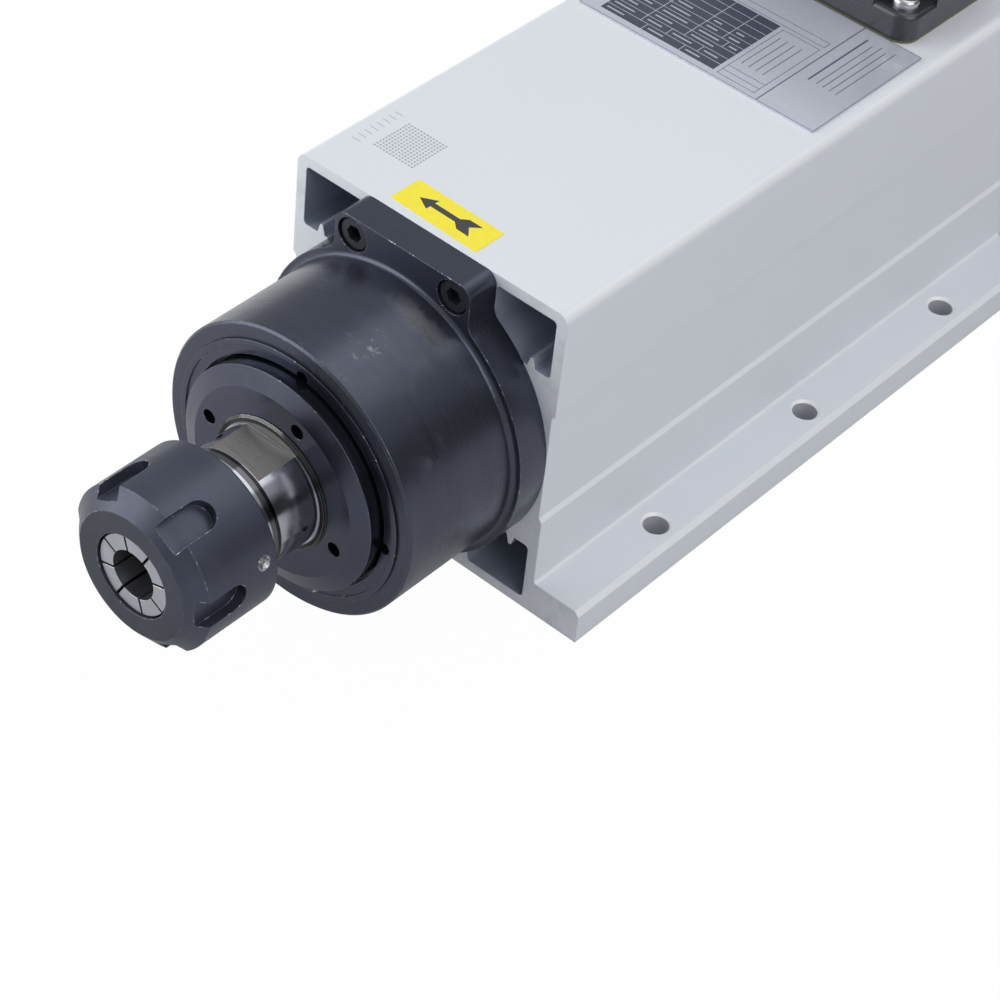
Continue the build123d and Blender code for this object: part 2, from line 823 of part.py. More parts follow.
with BuildPart() as stator_winding:
    with BuildSketch(across(stator_start_y - end_turn_gap)):
        with PolarLocations((slot_inner_r + slot_outer_r) / 2, slot_count):
            Rectangle(slot_outer_r - slot_inner_r - 2 * hole_clearance, slot_width - 2 * hole_clearance)
    extrude(amount=-(stator_length + 2 * end_turn_gap))
    for bundle_start in (stator_start_y - end_turn_gap - end_turn_length, stator_end_y + end_turn_gap):
        with BuildSketch(Plane.XY.offset(axis_z)) as bundle:
            with Locations(((end_turn_inner_r + end_turn_outer_r) / 2, bundle_start + end_turn_length / 2)):
                RectangleRounded(end_turn_outer_r - end_turn_inner_r, end_turn_length, end_turn_corner_r)
        revolve(bundle.sketch, axis=spin_axis)
stator_winding.part.label = "stator_winding"
export_step(stator_winding.part, "parts/stator_winding.step")

# Rotor
rotor_r = stator_bore_r - air_gap
with BuildPart() as rotor_core:
    revolve(tube(rotor_seat_r, rotor_r, stator_start_y, stator_end_y), axis=spin_axis)
rotor_core.part.label = "rotor_core"
export_step(rotor_core.part, "parts/rotor_core.step")

with BuildPart() as rotor_end_rings:
    for ring_start in (seat_start_y, stator_end_y):
        revolve(tube(rotor_seat_r, end_ring_outer_r, ring_start, ring_start + end_ring_length),
                axis=spin_axis)
rotor_end_rings.part.label = "rotor_end_rings"
export_step(rotor_end_rings.part, "parts/rotor_end_rings.step")

# Rear end shield with windows that carry the corner channels through to the fan
spring_seat_y = rear_bearing_end + spring_free_height
with BuildPart() as rear_end_shield:
    with BuildSketch(across(rear_y)) as shield_plate:
        Rectangle(body_width, body_height)
        fillet(shield_plate.vertices(), body_corner_r)
        add(corner_channels(spikes=False), mode=Mode.SUBTRACT)
    extrude(amount=-shield_thickness)
    revolve(
        meridian(
            (0, rear_y - shield_boss_length),
            (shield_boss_r, rear_y - shield_boss_length),
            (shield_boss_r, rear_y - pilot_depth + pilot_clearance),
            (pilot_r - thread_clearance, rear_y - pilot_depth + pilot_clearance),
            (pilot_r - thread_clearance, rear_y),
            (0, rear_y),
        ),
        axis=spin_axis,
    )
    revolve(
        meridian(
            (0, rear_y - shield_boss_length - overcut),
            (rear_bearing_r, rear_y - shield_boss_length - overcut),
            (rear_bearing_r, spring_seat_y),
            (shaft_tail_r + shaft_passage, spring_seat_y),
            (shaft_tail_r + shaft_passage, rear_y + shield_thickness + overcut),
            (0, rear_y + shield_thickness + overcut),
        ),
        axis=spin_axis,
        mode=Mode.SUBTRACT,
    )
    with Locations(Plane(origin=(0, rear_y + shield_thickness, axis_z), x_dir=(1, 0, 0), z_dir=(0, 1, 0))):
        with GridLocations(2 * screw_x, 2 * screw_z, 2, 2):
            CounterBoreHole(screw_r + hole_clearance, counterbore_r, counterbore_depth, shield_thickness)
        with GridLocations(2 * cover_post_x, 2 * cover_post_z, 2, 2):
            Hole(cover_screw_r + thread_clearance, cover_screw_reach + overcut)
rear_end_shield.part.label = "rear_end_shield"
export_step(rear_end_shield.part, "parts/rear_end_shield.step")

rear_seat_y = rear_y + shield_thickness - counterbore_depth
with BuildPart() as rear_shield_screws:
    with BuildSketch(across(rear_seat_y)):
        with GridLocations(2 * screw_x, 2 * screw_z, 2, 2):
            Circle(screw_head_r)
    extrude(amount=-screw_head_height)
    with BuildSketch(across(rear_seat_y)):
        with GridLocations(2 * screw_x, 2 * screw_z, 2, 2):
            Circle(screw_r)
    extrude(amount=rear_seat_y - rear_y + screw_reach)
    with BuildSketch(across(rear_seat_y + screw_head_height)):
        with GridLocations(2 * screw_x, 2 * screw_z, 2, 2):
            RegularPolygon(screw_socket_af / 2, 6, major_radius=False)
    extrude(amount=screw_socket_depth, mode=Mode.SUBTRACT)
rear_shield_screws.part.label = "rear_shield_screws"
export_step(rear_shield_screws.part, "parts/rear_shield_screws.step")

# Rear bearing and its curved preload spring
rear_inner_section, rear_outer_section = bearing_races(
    rear_bearing_start, rear_bearing_width, rear_bearing_bore_r, rear_bearing_r, rear_ball_r)
rear_balls_at = ball_places(rear_bearing_start, rear_bearing_width, rear_bearing_bore_r,
                            rear_bearing_r, rear_ball_count)
with BuildPart() as rear_bearing_inner_ring:
    revolve(rear_inner_section, axis=spin_axis)
rear_bearing_inner_ring.part.label = "rear_bearing_inner_ring"
export_step(rear_bearing_inner_ring.part, "parts/rear_bearing_inner_ring.step")

with BuildPart() as rear_bearing_outer_ring:
    revolve(rear_outer_section, axis=spin_axis)
rear_bearing_outer_ring.part.label = "rear_bearing_outer_ring"
export_step(rear_bearing_outer_ring.part, "parts/rear_bearing_outer_ring.step")

with BuildPart() as rear_bearing_balls:
    with Locations(*rear_balls_at):
        Sphere(rear_ball_r)
rear_bearing_balls.part.label = "rear_bearing_balls"
export_step(rear_bearing_balls.part, "parts/rear_bearing_balls.step")

with BuildPart() as rear_bearing_cage:
    revolve(cage_outline(rear_bearing_start, rear_bearing_width, rear_bearing_bore_r, rear_bearing_r),
            axis=spin_axis)
    with Locations(*pocket_places(rear_bearing_start, rear_bearing_width, rear_ball_count)):
        Cylinder(rear_ball_r + running_clearance, rear_bearing_r,
                 align=(Align.CENTER, Align.CENTER, Align.MIN), mode=Mode.SUBTRACT)
rear_bearing_cage.part.label = "rear_bearing_cage"
export_step(rear_bearing_cage.part, "parts/rear_bearing_cage.step")

spring_outer_r = rear_bearing_r - free_clearance
spring_inner_r = (rear_bearing_bore_r + rear_bearing_r) / 2 + race_land
spring_rise = spring_free_height - spring_gauge
with BuildPart() as preload_spring:
    with BuildSketch(across(rear_bearing_end - overcut)):
        Circle(spring_outer_r)
        Circle(spring_inner_r, mode=Mode.SUBTRACT)
    extrude(amount=-(spring_free_height + 2 * overcut))
    with BuildSketch(Plane.XY.offset(axis_z - rear_bearing_r)):
        with BuildLine():
            ThreePointArc((-spring_outer_r, rear_bearing_end), (0, rear_bearing_end + spring_rise),
                          (spring_outer_r, rear_bearing_end))
            Line((spring_outer_r, rear_bearing_end), (spring_outer_r, rear_bearing_end + spring_gauge))
            ThreePointArc((spring_outer_r, rear_bearing_end + spring_gauge),
                          (0, rear_bearing_end + spring_rise + spring_gauge),
                          (-spring_outer_r, rear_bearing_end + spring_gauge))
            Line((-spring_outer_r, rear_bearing_end + spring_gauge), (-spring_outer_r, rear_bearing_end))
        make_face()
    extrude(amount=2 * rear_bearing_r, mode=Mode.INTERSECT)
preload_spring.part.label = "preload_spring"
export_step(preload_spring.part, "parts/preload_spring.step")

# Fan: leaning blades on a back plate, held on the shaft end by one screw
with BuildPart() as fan_impeller:
    revolve(tube(fan_seat_r, fan_hub_r, fan_start_y, fan_end_y), axis=spin_axis)
    revolve(tube(fan_hub_r - overcut, fan_r, fan_start_y, fan_start_y + fan_plate), axis=spin_axis)
    with BuildSketch(across(fan_start_y)):
        for index in range(fan_blade_count):
            root = 360 * index / fan_blade_count
            root_point = polar(fan_hub_r - overcut, root)
            middle_point = polar((fan_hub_r + fan_r) / 2, root + fan_blade_bow)
            tip_point = polar(fan_r - fan_blade_setback, root + fan_blade_lean)
            with BuildLine() as blade_line:
                ThreePointArc(root_point, middle_point, tip_point)
            with BuildLine() as blade_edge:
                offset(blade_line.line, amount=fan_blade_thickness / 2, side=Side.BOTH)
            make_face(blade_edge.edges())
    extrude(amount=-fan_width)
fan_impeller.part.label = "fan_impeller"
export_step(fan_impeller.part, "parts/fan_impeller.step")

fan_head_y = fan_end_y + fan_washer_thickness
with BuildPart() as fan_screw:
    with BuildSketch(across(fan_end_y)):
        Circle(fan_washer_r)
    extrude(amount=-fan_washer_thickness)
    with BuildSketch(across(fan_head_y)):
        Circle(fan_screw_head_r)
    extrude(amount=-fan_screw_head_height)
    with BuildSketch(across(fan_head_y)):
        Circle(fan_screw_r)
    extrude(amount=fan_screw_length - drill_allowance)
    with BuildSketch(across(fan_head_y + fan_screw_head_height)):
        RegularPolygon(fan_screw_r, 6, major_radius=False)
    extrude(amount=fan_screw_head_height / 2, mode=Mode.SUBTRACT)
fan_screw.part.label = "fan_screw"
export_step(fan_screw.part, "parts/fan_screw.step")

# Fan cover: square cap with a ring grille over the fan
cover_start_y = rear_y + shield_thickness
cover_end_y = cover_start_y + cover_depth
with BuildPart() as fan_cover:
    with BuildSketch(across(cover_start_y)) as cover_outline:
        Rectangle(body_width, body_height)
        fillet(cover_outline.vertices(), body_corner_r)
    extrude(amount=-cover_depth)
    fillet(fan_cover.faces().sort_by(Axis.Y)[-1].edges(), cover_wall)
    with BuildSketch(across(cover_start_y)):
        Rectangle(body_width - 2 * cover_wall, body_height - 2 * cover_wall)
    extrude(amount=-(cover_depth - cover_back), mode=Mode.SUBTRACT)
    with BuildSketch(across(cover_start_y)):
        with GridLocations(2 * cover_post_x, 2 * cover_post_z, 2, 2):
            Circle(cover_post_r)
    extrude(amount=-(cover_depth - cover_back))
    with BuildSketch(across(cover_start_y)):
        grille_pitch = grille_slot + grille_bar
        for index in reversed(range(grille_ring_count)):
            Circle(grille_centre_r + index * grille_pitch + grille_slot)
            Circle(grille_centre_r + index * grille_pitch, mode=Mode.SUBTRACT)
        with PolarLocations(0, grille_spokes):
            Rectangle(body_width, grille_spoke_width, mode=Mode.SUBTRACT)
    extrude(amount=-cover_depth, mode=Mode.SUBTRACT)
    with BuildSketch(across(cover_start_y)):
        with GridLocations(2 * cover_post_x, 2 * cover_post_z, 2, 2):
            Circle(cover_screw_r + hole_clearance)
    extrude(amount=-cover_depth, mode=Mode.SUBTRACT)
fan_cover.part.label = "fan_cover"
export_step(fan_cover.part, "parts/fan_cover.step")

with BuildPart() as fan_cover_screws:
    with BuildSketch(across(cover_end_y)):
        with GridLocations(2 * cover_post_x, 2 * cover_post_z, 2, 2):
            Circle(cover_screw_head_r)
    extrude(amount=-cover_screw_head_height)
    fillet(fan_cover_screws.faces().sort_by(Axis.Y)[-4:].edges(), cover_screw_head_height / 2)
    with BuildSketch(across(cover_end_y)):
        with GridLocations(2 * cover_post_x, 2 * cover_post_z, 2, 2):
            Circle(cover_screw_r)
    extrude(amount=cover_depth + cover_screw_reach)
fan_cover_screws.part.label = "fan_cover_screws"
export_step(fan_cover_screws.part, "parts/fan_cover_screws.step")

# Junction box on top of the housing
seal_top = body_height + box_seal
pad_top = seal_top + box_pad_height
base_top = seal_top + box_height
lid_bottom = base_top + lid_seal
lid_top = lid_bottom + lid_thickness


def box_plan(inset):
    """Plan of the raised part of the box: a rectangle with its four corners cut back."""
    with BuildSketch() as plan:
        with Locations((0, box_y)):
            Rectangle(2 * (box_half_width - inset), box_length - 2 * inset)
        with Locations((0, box_y)):
            with GridLocations(2 * box_half_width, box_length, 2, 2):
                Rectangle(2 * (box_pocket + inset), 2 * (box_pocket + inset), mode=Mode.SUBTRACT)
        inner_corners = plan.vertices().filter_by(
            lambda v: abs(abs(v.X) - (box_half_width - box_pocket - inset)) < 0.01
            and abs(abs(v.Y - box_y) - (box_length / 2 - box_pocket - inset)) < 0.01)
        fillet(inner_corners, box_pocket_r)
    return plan.sketch


def box_footprint():
    """Plan of the box flange that sits on the housing."""
    with BuildSketch() as plan:
        with Locations((0, box_y)):
            RectangleRounded(2 * box_half_width, box_length, box_corner_r)
    return plan.sketch


def box_screw_places():
    """Grid of the four corner screws of the box."""
    return GridLocations(2 * (box_half_width - box_screw_inset), box_length - 2 * box_screw_inset, 2, 2)


with BuildPart() as box_gasket:
    with BuildSketch(Plane.XY.offset(body_height)):
        add(box_footprint())
        with Locations((0, box_y)):
            Circle(lead_hole_r, mode=Mode.SUBTRACT)
            with box_screw_places():
                Circle(box_screw_r + hole_clearance, mode=Mode.SUBTRACT)
    extrude(amount=box_seal)
box_gasket.part.label = "box_gasket"
export_step(box_gasket.part, "parts/box_gasket.step")

gland_z = seal_top + gland_height
gland_wall_y = box_y + box_length / 2
with BuildPart() as junction_box_base:
    with BuildSketch(Plane.XY.offset(seal_top)):
        add(box_footprint())
    extrude(amount=box_pad_height)
    fillet(junction_box_base.faces().sort_by(Axis.Z)[-1].edges(), box_pad_edge_r)
    with BuildSketch(Plane.XY.offset(seal_top)):
        add(box_plan(0))
    extrude(amount=box_height)
    with BuildSketch(Plane.XY.offset(seal_top + box_floor)):
        add(box_plan(box_wall))
    extrude(amount=box_height, mode=Mode.SUBTRACT)
    with BuildSketch(Plane.XY.offset(seal_top + box_floor)):
        with Locations((0, box_y)):
            with GridLocations(2 * lid_screw_x, 2 * lid_screw_y, 2, 2):
                Circle(lid_boss_r)
    extrude(amount=box_height - box_floor)
    with Locations(Plane.XY.offset(base_top)):
        with Locations((0, box_y)):
            with GridLocations(2 * lid_screw_x, 2 * lid_screw_y, 2, 2):
                Hole(lid_screw_r + thread_clearance, lid_screw_reach + overcut)
    with BuildSketch(Plane.XY.offset(seal_top)):
        with Locations((0, box_y)):
            Circle(lead_hole_r)
            with box_screw_places():
                Circle(box_screw_r + hole_clearance)
    extrude(amount=box_pad_height, mode=Mode.SUBTRACT)
    with BuildSketch(Plane(origin=(0, gland_wall_y, gland_z), x_dir=(1, 0, 0), z_dir=(0, -1, 0))):
        Circle(gland_thread_r + thread_clearance)
    extrude(amount=box_wall + overcut, mode=Mode.SUBTRACT)
junction_box_base.part.label = "junction_box_base"
export_step(junction_box_base.part, "parts/junction_box_base.step")

with BuildPart() as junction_box_screws:
    with BuildSketch(Plane.XY.offset(pad_top)):
        with Locations((0, box_y)):
            with box_screw_places():
                Circle(box_screw_head_r)
    extrude(amount=box_screw_head_height)
    fillet(junction_box_screws.faces().sort_by(Axis.Z)[-4:].edges(), box_screw_head_height / 2)
    with BuildSketch(Plane.XY.offset(pad_top)):
        with Locations((0, box_y)):
            with box_screw_places():
                Circle(box_screw_r)
    extrude(amount=-(pad_top - body_height + box_screw_reach))
junction_box_screws.part.label = "junction_box_screws"
export_step(junction_box_screws.part, "parts/junction_box_screws.step")

with BuildPart() as lid_gasket:
    with BuildSketch(Plane.XY.offset(base_top)):
        add(box_plan(0))
        add(box_plan(box_wall), mode=Mode.SUBTRACT)
    extrude(amount=lid_seal)
lid_gasket.part.label = "lid_gasket"
export_step(lid_gasket.part, "parts/lid_gasket.step")

with BuildPart() as junction_box_lid:
    with BuildSketch(Plane.XY.offset(lid_bottom)):
        add(box_plan(0))
    extrude(amount=lid_thickness)
    fillet(junction_box_lid.faces().sort_by(Axis.Z)[-1].edges(), lid_edge_r)
    with BuildSketch(Plane.XY.offset(lid_bottom)):
        with Locations((0, box_y)):
            with GridLocations(2 * lid_screw_x, 2 * lid_screw_y, 2, 2):
                Circle(lid_screw_r + hole_clearance)
    extrude(amount=lid_thickness, mode=Mode.SUBTRACT)
junction_box_lid.part.label = "junction_box_lid"
export_step(junction_box_lid.part, "parts/junction_box_lid.step")

with BuildPart() as lid_screws:
    with BuildSketch(Plane.XY.offset(lid_top)):
        with Locations((0, box_y)):
            with GridLocations(2 * lid_screw_x, 2 * lid_screw_y, 2, 2):
                Circle(lid_screw_head_r)
    extrude(amount=lid_screw_head_height)
    fillet(lid_screws.faces().sort_by(Axis.Z)[-4:].edges(), lid_screw_head_height / 2)
    with BuildSketch(Plane.XY.offset(lid_top)):
        with Locations((0, box_y)):
            with GridLocations(2 * lid_screw_x, 2 * lid_screw_y, 2, 2):
                Circle(lid_screw_r)
    extrude(amount=-(lid_top - base_top + lid_screw_reach))
lid_screws.part.label = "lid_screws"
export_step(lid_screws.part, "parts/lid_screws.step")

# Terminal block over the lead hole, with one clamp screw for each lead
terminal_bottom = seal_top + box_floor
terminal_y = box_y - lead_hole_r - terminal_depth / 2
with BuildPart() as terminal_block:
    with BuildSketch(Plane.XY.offset(terminal_bottom)):
        with Locations((0, terminal_y)):
            Rectangle(terminal_width, terminal_depth)
    extrude(amount=terminal_height)
    with BuildSketch(Plane.XY.offset(terminal_bottom + terminal_height)):
        with Locations((0, terminal_y)):
            with GridLocations(terminal_pitch, 1, terminal_count, 1):
                Rectangle(terminal_pitch - terminal_rib, terminal_depth - 2 * terminal_wall)
    extrude(amount=-terminal_recess, mode=Mode.SUBTRACT)
terminal_block.part.label = "terminal_block"
export_step(terminal_block.part, "parts/terminal_block.step")

with BuildPart() as terminal_screws:
    with BuildSketch(Plane.XY.offset(terminal_bottom + terminal_height - terminal_recess)):
        with Locations((0, terminal_y)):
            with GridLocations(terminal_pitch, 1, terminal_count, 1):
                Circle(terminal_screw_r)
    extrude(amount=terminal_screw_height)
terminal_screws.part.label = "terminal_screws"
export_step(terminal_screws.part, "parts/terminal_screws.step")

# Three motor leads run back from the rear end turns and rise through the lead hole
end_turn_end_y = stator_end_y + end_turn_gap + end_turn_length
lead_z = axis_z + (end_turn_inner_r + end_turn_outer_r) / 2
lead_top = terminal_bottom + terminal_height - lead_end_inset
with BuildPart() as motor_leads:
    for index in range(lead_count):
        lead_x = (index - (lead_count - 1) / 2) * lead_pitch
        with BuildLine():
            FilletPolyline(
                (lead_x, end_turn_end_y, lead_z),
                (lead_x, box_y, lead_z),
                (lead_x, box_y, lead_top),
                radius=lead_bend_r,
            )
        with BuildSketch(Plane(origin=(lead_x, end_turn_end_y, lead_z), z_dir=(0, 1, 0))):
            Circle(lead_r)
        sweep()
motor_leads.part.label = "motor_leads"
export_step(motor_leads.part, "parts/motor_leads.step")


def gland_plane(y):
    """Plane across the cable gland at y; its normal points out of the box."""
    return Plane(origin=(0, y, gland_z), x_dir=(1, 0, 0), z_dir=(0, 1, 0))


# Cable gland in the rear wall of the box
gland_nut_start = gland_wall_y + gland_flange
with BuildPart() as gland_body:
    with BuildSketch(gland_plane(gland_wall_y)):
        RegularPolygon(gland_flange_af / 2, 6, major_radius=False)
    extrude(amount=gland_flange)
    with BuildSketch(gland_plane(gland_wall_y - box_wall - gland_locknut)):
        Circle(gland_thread_r)
    extrude(amount=box_wall + gland_locknut + gland_flange + gland_neck)
    with BuildSketch(gland_plane(gland_wall_y - box_wall - gland_locknut)):
        Circle(gland_bore_r)
    extrude(amount=box_wall + gland_locknut + gland_flange + gland_neck, mode=Mode.SUBTRACT)
gland_body.part.label = "gland_body"
export_step(gland_body.part, "parts/gland_body.step")

with BuildPart() as gland_locknut_part:
    with BuildSketch(gland_plane(gland_wall_y - box_wall)):
        RegularPolygon(gland_nut_af / 2, 6, major_radius=False)
        Circle(gland_thread_r + thread_clearance, mode=Mode.SUBTRACT)
    extrude(amount=-gland_locknut)
gland_locknut_part.part.label = "gland_locknut"
export_step(gland_locknut_part.part, "parts/gland_locknut.step")

gland_nut_end = gland_nut_start + gland_nut_length
with BuildPart() as gland_nut:
    with BuildSketch(gland_plane(gland_nut_start)):
        RegularPolygon(gland_nut_af / 2, 6, major_radius=False)
    extrude(amount=gland_nut_length)
    fillet(gland_nut.faces().sort_by(Axis.Y)[-1].edges(), gland_nut_edge_r)
    with BuildSketch(gland_plane(gland_nut_start)):
        Circle(gland_thread_r + thread_clearance)
    extrude(amount=gland_neck + free_clearance, mode=Mode.SUBTRACT)
    with BuildSketch(gland_plane(gland_nut_start)):
        Circle(gland_nut_bore_r)
    extrude(amount=gland_nut_length, mode=Mode.SUBTRACT)
gland_nut.part.label = "gland_nut"
export_step(gland_nut.part, "parts/gland_nut.step")

with BuildPart() as gland_seal:
    with BuildSketch(gland_plane(gland_nut_end - gland_seal_length - gland_seal_inset)):
        Circle(gland_bore_r - thread_clearance)
        Circle(gland_seal_bore_r, mode=Mode.SUBTRACT)
    extrude(amount=gland_seal_length)
gland_seal.part.label = "gland_seal"
export_step(gland_seal.part, "parts/gland_seal.step")

# Rating plate and rotation sticker
with BuildPart() as rating_plate:
    with BuildSketch(Plane.XY.offset(body_height)):
        with Locations((0, front_y + plate_start + plate_length / 2)):
            RectangleRounded(plate_width, plate_length, plate_corner_r)
    extrude(amount=plate_thickness)
rating_plate.part.label = "rating_plate"
export_step(rating_plate.part, "parts/rating_plate.step")

with BuildPart() as rotation_sticker:
    with BuildSketch(Plane.XY.offset(body_height)):
        with Locations((sticker_x, front_y + sticker_y)):
            Rectangle(sticker_width, sticker_length)
    extrude(amount=sticker_thickness)
rotation_sticker.part.label = "rotation_sticker"
export_step(rotation_sticker.part, "parts/rotation_sticker.step")
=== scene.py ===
"""Looks for the motor spindle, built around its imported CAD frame. Lengths are in metres."""
import math

import bmesh
import bpy
from mathutils import Matrix, Vector


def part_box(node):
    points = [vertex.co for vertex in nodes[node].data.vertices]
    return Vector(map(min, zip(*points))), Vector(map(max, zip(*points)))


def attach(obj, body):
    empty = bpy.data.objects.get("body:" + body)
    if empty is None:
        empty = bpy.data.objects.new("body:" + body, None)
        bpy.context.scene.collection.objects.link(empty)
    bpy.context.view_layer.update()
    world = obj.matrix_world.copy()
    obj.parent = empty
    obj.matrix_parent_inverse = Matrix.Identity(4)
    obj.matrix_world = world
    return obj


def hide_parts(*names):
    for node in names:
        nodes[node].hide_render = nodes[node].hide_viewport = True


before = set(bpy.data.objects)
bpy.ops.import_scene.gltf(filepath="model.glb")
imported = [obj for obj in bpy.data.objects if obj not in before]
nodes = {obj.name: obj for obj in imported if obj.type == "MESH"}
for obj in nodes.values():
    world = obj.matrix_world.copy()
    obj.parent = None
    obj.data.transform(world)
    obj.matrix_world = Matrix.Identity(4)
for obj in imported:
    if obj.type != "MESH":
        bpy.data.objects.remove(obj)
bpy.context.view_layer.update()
scene = bpy.context.scene
scene.view_settings.view_transform = "Standard"
MM = 0.001

# Places taken from the frame
HOUSING_LOW, HOUSING_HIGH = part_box("housing_extrusion")
FRONT_Y = HOUSING_LOW.y
TOP_Z = HOUSING_HIGH.z
SHAFT_LOW, SHAFT_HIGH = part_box("spindle_shaft")
AXIS_Z = (SHAFT_LOW.z + SHAFT_HIGH.z) / 2
PLATE_LOW, PLATE_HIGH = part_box("rating_plate")
NUT_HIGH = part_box("collet_nut")[1]

# Camera, solved from the photograph's edges and circles
CAMERA_AZIMUTH = math.radians(36.63)
CAMERA_ELEVATION = math.radians(43.10)
CAMERA_ROLL = math.radians(6.77)
CAMERA_PLACE = (0.33576, -0.51202, 0.51022)
CAMERA_LENS = 107.59

# Shaft neck with its two spanner flats, and the nut's balancing dimple
NECK_R = 15.5 * MM
FLAT_HEIGHT = 13.5 * MM
FLAT_FRONT_Y = FRONT_Y - 61.2 * MM
FLAT_REAR_Y = FRONT_Y - 49.5 * MM
DIMMED_BAND_Y = FLAT_FRONT_Y - 1.7 * MM
UNDERCUT_Y = FLAT_FRONT_Y - 0.6 * MM
DIMPLE_ANGLE = math.radians(13)
DIMPLE_Y = FRONT_Y - 72 * MM
DIMPLE_R = 2.4 * MM

# Housing: the box that holds the corner channels, and the foot holes
CHANNEL_HALF_WIDTH = 38.6 * MM
CHANNEL_HALF_HEIGHT = 43.3 * MM
FOOT_HOLE_X = HOUSING_HIGH.x - 6.9 * MM
FOOT_HOLE_PITCH = 61 * MM
FOOT_HOLE_RIM_R = 4.9 * MM

# Film and ink
FILM = 0.12 * MM
INK = 0.02 * MM

# Stage and light: shares are of plain white, and the room is darkest in one direction
WHITE_SHARE = 0.985
ROOM_GLOSS_SHARE = 0.03
FLOOR_HALF_SIZE = 40.0
FLOOR_SINK = 0.2 * MM
FLOOR_COLOUR = (0.6, 0.6, 0.61, 1)
ROOM_COLOUR = (0.93, 0.96, 1.0, 1)
ROOM_DARK_SIDE = (0.80, 0.59, 0.03)
LAMP_AIM = (0, -0.05, 0.05)
LAMPS = (
    # name, place, side length and power
    ("key", (-0.92, -0.88, 0.45), 1.25, 11.5),
    ("top", (0.1, 0.3, 1.3), 1.1, 4.1),
    ("side", (1.0, -0.22, 0.82), 1.0, 4.8),
)


def make_camera():
    """The photograph's camera: azimuth and elevation of its back direction, then a roll about it."""
    flat = math.cos(CAMERA_ELEVATION)
    back = Vector((
        math.sin(CAMERA_AZIMUTH) * flat,
        -math.cos(CAMERA_AZIMUTH) * flat,
        math.sin(CAMERA_ELEVATION),
    ))
    level = Vector((math.cos(CAMERA_AZIMUTH), math.sin(CAMERA_AZIMUTH), 0))
    upright = back.cross(level)
    side = math.cos(CAMERA_ROLL) * level + math.sin(CAMERA_ROLL) * upright
    up = math.cos(CAMERA_ROLL) * upright - math.sin(CAMERA_ROLL) * level
    data = bpy.data.cameras.new("photo_camera")
    data.sensor_width = 36
    data.lens = CAMERA_LENS
    data.clip_start = 0.01
    camera = bpy.data.objects.new("photo_camera", data)
    scene.collection.objects.link(camera)
    camera.matrix_world = Matrix.Translation(CAMERA_PLACE) @ Matrix((side, up, back)).transposed().to_4x4()
    scene.camera = camera


def rgba(colour):
    """A plain colour with its alpha added; a socket stays as it is."""
    return (*colour, 1) if isinstance(colour, tuple) and len(colour) == 3 else colour


def shade(colour, factor, lift=0.0):
    """The colour made darker or lighter by a factor, then lifted a little."""
    return tuple(min(1.0, factor * part + lift) for part in colour)


class Net:
    """Short calls that add nodes to one node tree, so that a recipe reads from top to bottom."""

    def __init__(self, tree, coordinates):
        self.tree = tree
        self.place = tree.nodes.new("ShaderNodeTexCoord").outputs[coordinates]

    def feed(self, socket, value):
        """Link another node's output to the socket, or set a plain value on it."""
        if isinstance(value, bpy.types.NodeSocket):
            self.tree.links.new(value, socket)
        else:
            socket.default_value = value

    def node(self, kind, out, inputs, **settings):
        """Add a node, set it up, feed its inputs and return one of its outputs."""
        made = self.tree.nodes.new(kind)
        for key, value in settings.items():
            setattr(made, key, value)
        for key, value in inputs.items():
            self.feed(made.inputs[key], value)
        return made.outputs[out]

    def calc(self, operation, *values):
        return self.node("ShaderNodeMath", 0, dict(enumerate(values)), operation=operation)

    def plus(self, a, b):
        return self.calc("ADD", a, b)

    def minus(self, a, b):
        return self.calc("SUBTRACT", a, b)

    def times(self, *values):
        total = values[0]
        for value in values[1:]:
            total = self.calc("MULTIPLY", total, value)
        return total

    def split(self, vector):
        parts = self.tree.nodes.new("ShaderNodeSeparateXYZ")
        self.feed(parts.inputs[0], vector)
        return parts.outputs[0], parts.outputs[1], parts.outputs[2]

    def join(self, x, y, z):
        return self.node("ShaderNodeCombineXYZ", 0, {0: x, 1: y, 2: z})

    def vector(self, operation, a, b, out="Vector"):
        return self.node("ShaderNodeVectorMath", out, {0: a, 1: b}, operation=operation)

    def stretch(self, scale):
        """The place on the part, scaled differently along each axis."""
        return self.vector("MULTIPLY", self.place, scale)

    def noise(self, vector, scale, detail=3.0, roughness=0.5, distortion=0.0):
        inputs = {"Vector": vector, "Scale": scale, "Detail": detail, "Roughness": roughness,
                  "Distortion": distortion}
        return self.node("ShaderNodeTexNoise", 0, inputs)

    def remap(self, value, low, high, to_low=0.0, to_high=1.0, smooth=True):
        """Carry the range from low to high over to another range, clamped at both ends."""
        inputs = {0: value, 1: low, 2: high, 3: to_low, 4: to_high}
        kind = "SMOOTHSTEP" if smooth else "LINEAR"
        return self.node("ShaderNodeMapRange", 0, inputs, interpolation_type=kind, clamp=True)

    def band(self, value, middle, half, soft):
        """1 within half a width of the middle, falling to 0 over the soft edge."""
        return self.remap(self.calc("ABSOLUTE", self.minus(value, middle)), half, half + soft, 1, 0)

    def mix(self, factor, a, b):
        """A colour between a and b."""
        made = self.tree.nodes.new("ShaderNodeMix")
        made.data_type = "RGBA"
        self.feed(made.inputs[0], factor)
        self.feed(made.inputs[6], rgba(a))
        self.feed(made.inputs[7], rgba(b))
        return made.outputs[2]

    def blend(self, factor, a, b):
        """A number between a and b."""
        made = self.tree.nodes.new("ShaderNodeMix")
        made.data_type = "FLOAT"
        self.feed(made.inputs[0], factor)
        self.feed(made.inputs[2], a)
        self.feed(made.inputs[3], b)
        return made.outputs[0]


